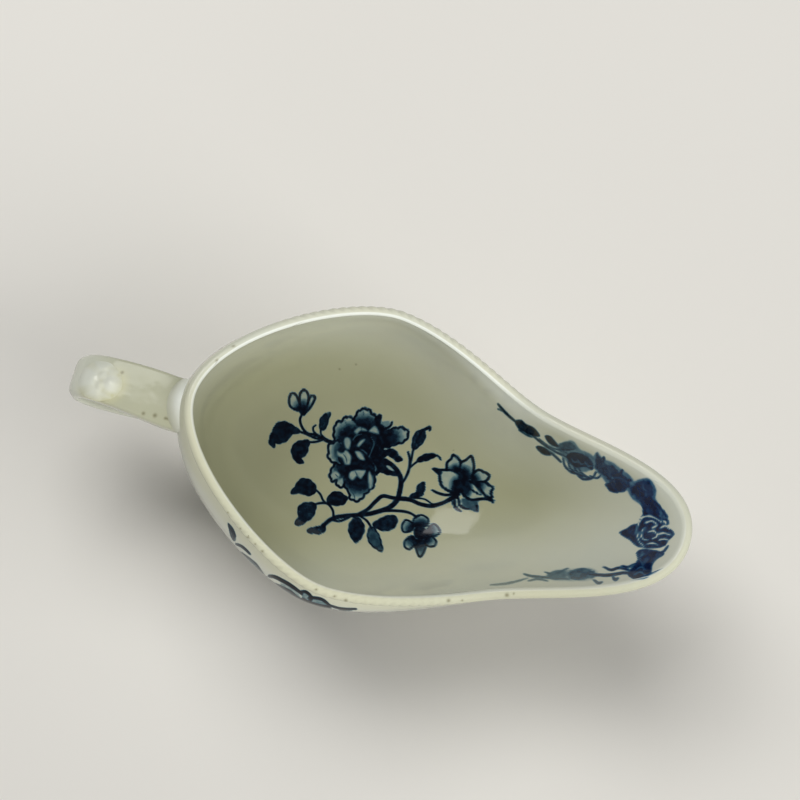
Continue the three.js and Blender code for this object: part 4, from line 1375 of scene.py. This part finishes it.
# Lights: name, place, aim and size in metres, and power in watts. The wide ones give no highlights.
BOAT_MIDDLE = (0, 0, 0.05)
WIDE_LIGHTS = [
    ("key", (-0.45, 0.45, 1.15), BOAT_MIDDLE, (1.0, 0.8), 10.6),
    ("fill", (0.35, -0.95, 0.85), BOAT_MIDDLE, (1.2, 1.2), 13),
    ("side", (0.95, -0.15, 0.75), BOAT_MIDDLE, (0.9, 0.9), 8),
]
WINDOW = ("window", (-0.815, 0.565, 1.2), (-0.815, 0.565, 0), (0.67, 0.57), 3.3)
ROOM_LIGHT = 0.08

# Camera's lens and sensor in millimetres, and half the side of the floor in metres.
CAMERA_LENS = 128.7
CAMERA_SENSOR = 36.0
FLOOR_REACH = 4.0


def add_pieces():
    looks = {"glaze": glaze(), "biscuit": biscuit()}
    pieces = []
    for make, node, slot in PIECES:
        piece = make()
        pieces.append(piece)
        piece.data.materials.append(looks[slot])
        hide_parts(node)
        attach(piece, "root")
    return pieces


def add_floor():
    mesh = bpy.data.meshes.new("floor")
    corners = [(x * FLOOR_REACH, y * FLOOR_REACH, 0) for x, y in ((-1, -1), (1, -1), (1, 1), (-1, 1))]
    mesh.from_pydata(corners, [], [(0, 1, 2, 3)])
    floor = bpy.data.objects.new("floor", mesh)
    bpy.context.scene.collection.objects.link(floor)
    mesh.materials.append(paper())


def add_camera():
    data = bpy.data.cameras.new("photo_camera")
    data.lens = CAMERA_LENS
    data.sensor_width = CAMERA_SENSOR
    camera = bpy.data.objects.new("photo_camera", data)
    turn = Matrix([axis.tolist() for axis in (*view_axes(), VIEW_BACK)]).transposed().to_4x4()
    place = (VIEW_AIM + VIEW_BACK * VIEW_DISTANCE) * MM
    camera.matrix_world = Matrix.Translation(place.tolist()) @ turn
    bpy.context.scene.collection.objects.link(camera)
    bpy.context.scene.camera = camera


def area_light(name, place, aim, size, power):
    data = bpy.data.lights.new(name, "AREA")
    data.shape = "RECTANGLE"
    data.size, data.size_y = size
    data.energy = power
    light = bpy.data.objects.new(name, data)
    light.location = place
    light.rotation_euler = (Vector(aim) - Vector(place)).to_track_quat("-Z", "Y").to_euler()
    bpy.context.scene.collection.objects.link(light)
    return light


def add_lights(pieces):
    """Wide soft lights, of which the fill lights the boat alone, and the window that the glaze reflects."""
    lights = [area_light(*values) for values in WIDE_LIGHTS]
    for light in lights:
        light.visible_glossy = False
    boat = bpy.data.collections.new("boat")
    for piece in pieces:
        boat.objects.link(piece)
    _, fill, _ = lights
    fill.light_linking.receiver_collection = boat
    area_light(*WINDOW)


def add_room():
    """Weak even light from all round, and plain colours in the picture."""
    world = bpy.data.worlds.new("room")
    world.use_nodes = True
    inputs = world.node_tree.nodes["Background"].inputs
    inputs["Color"].default_value = ROOM_COLOUR
    inputs["Strength"].default_value = ROOM_LIGHT
    bpy.context.scene.world = world
    bpy.context.scene.view_settings.view_transform = "Standard"


def main():
    pieces = add_pieces()
    add_floor()
    add_camera()
    add_lights(pieces)
    add_room()


main()
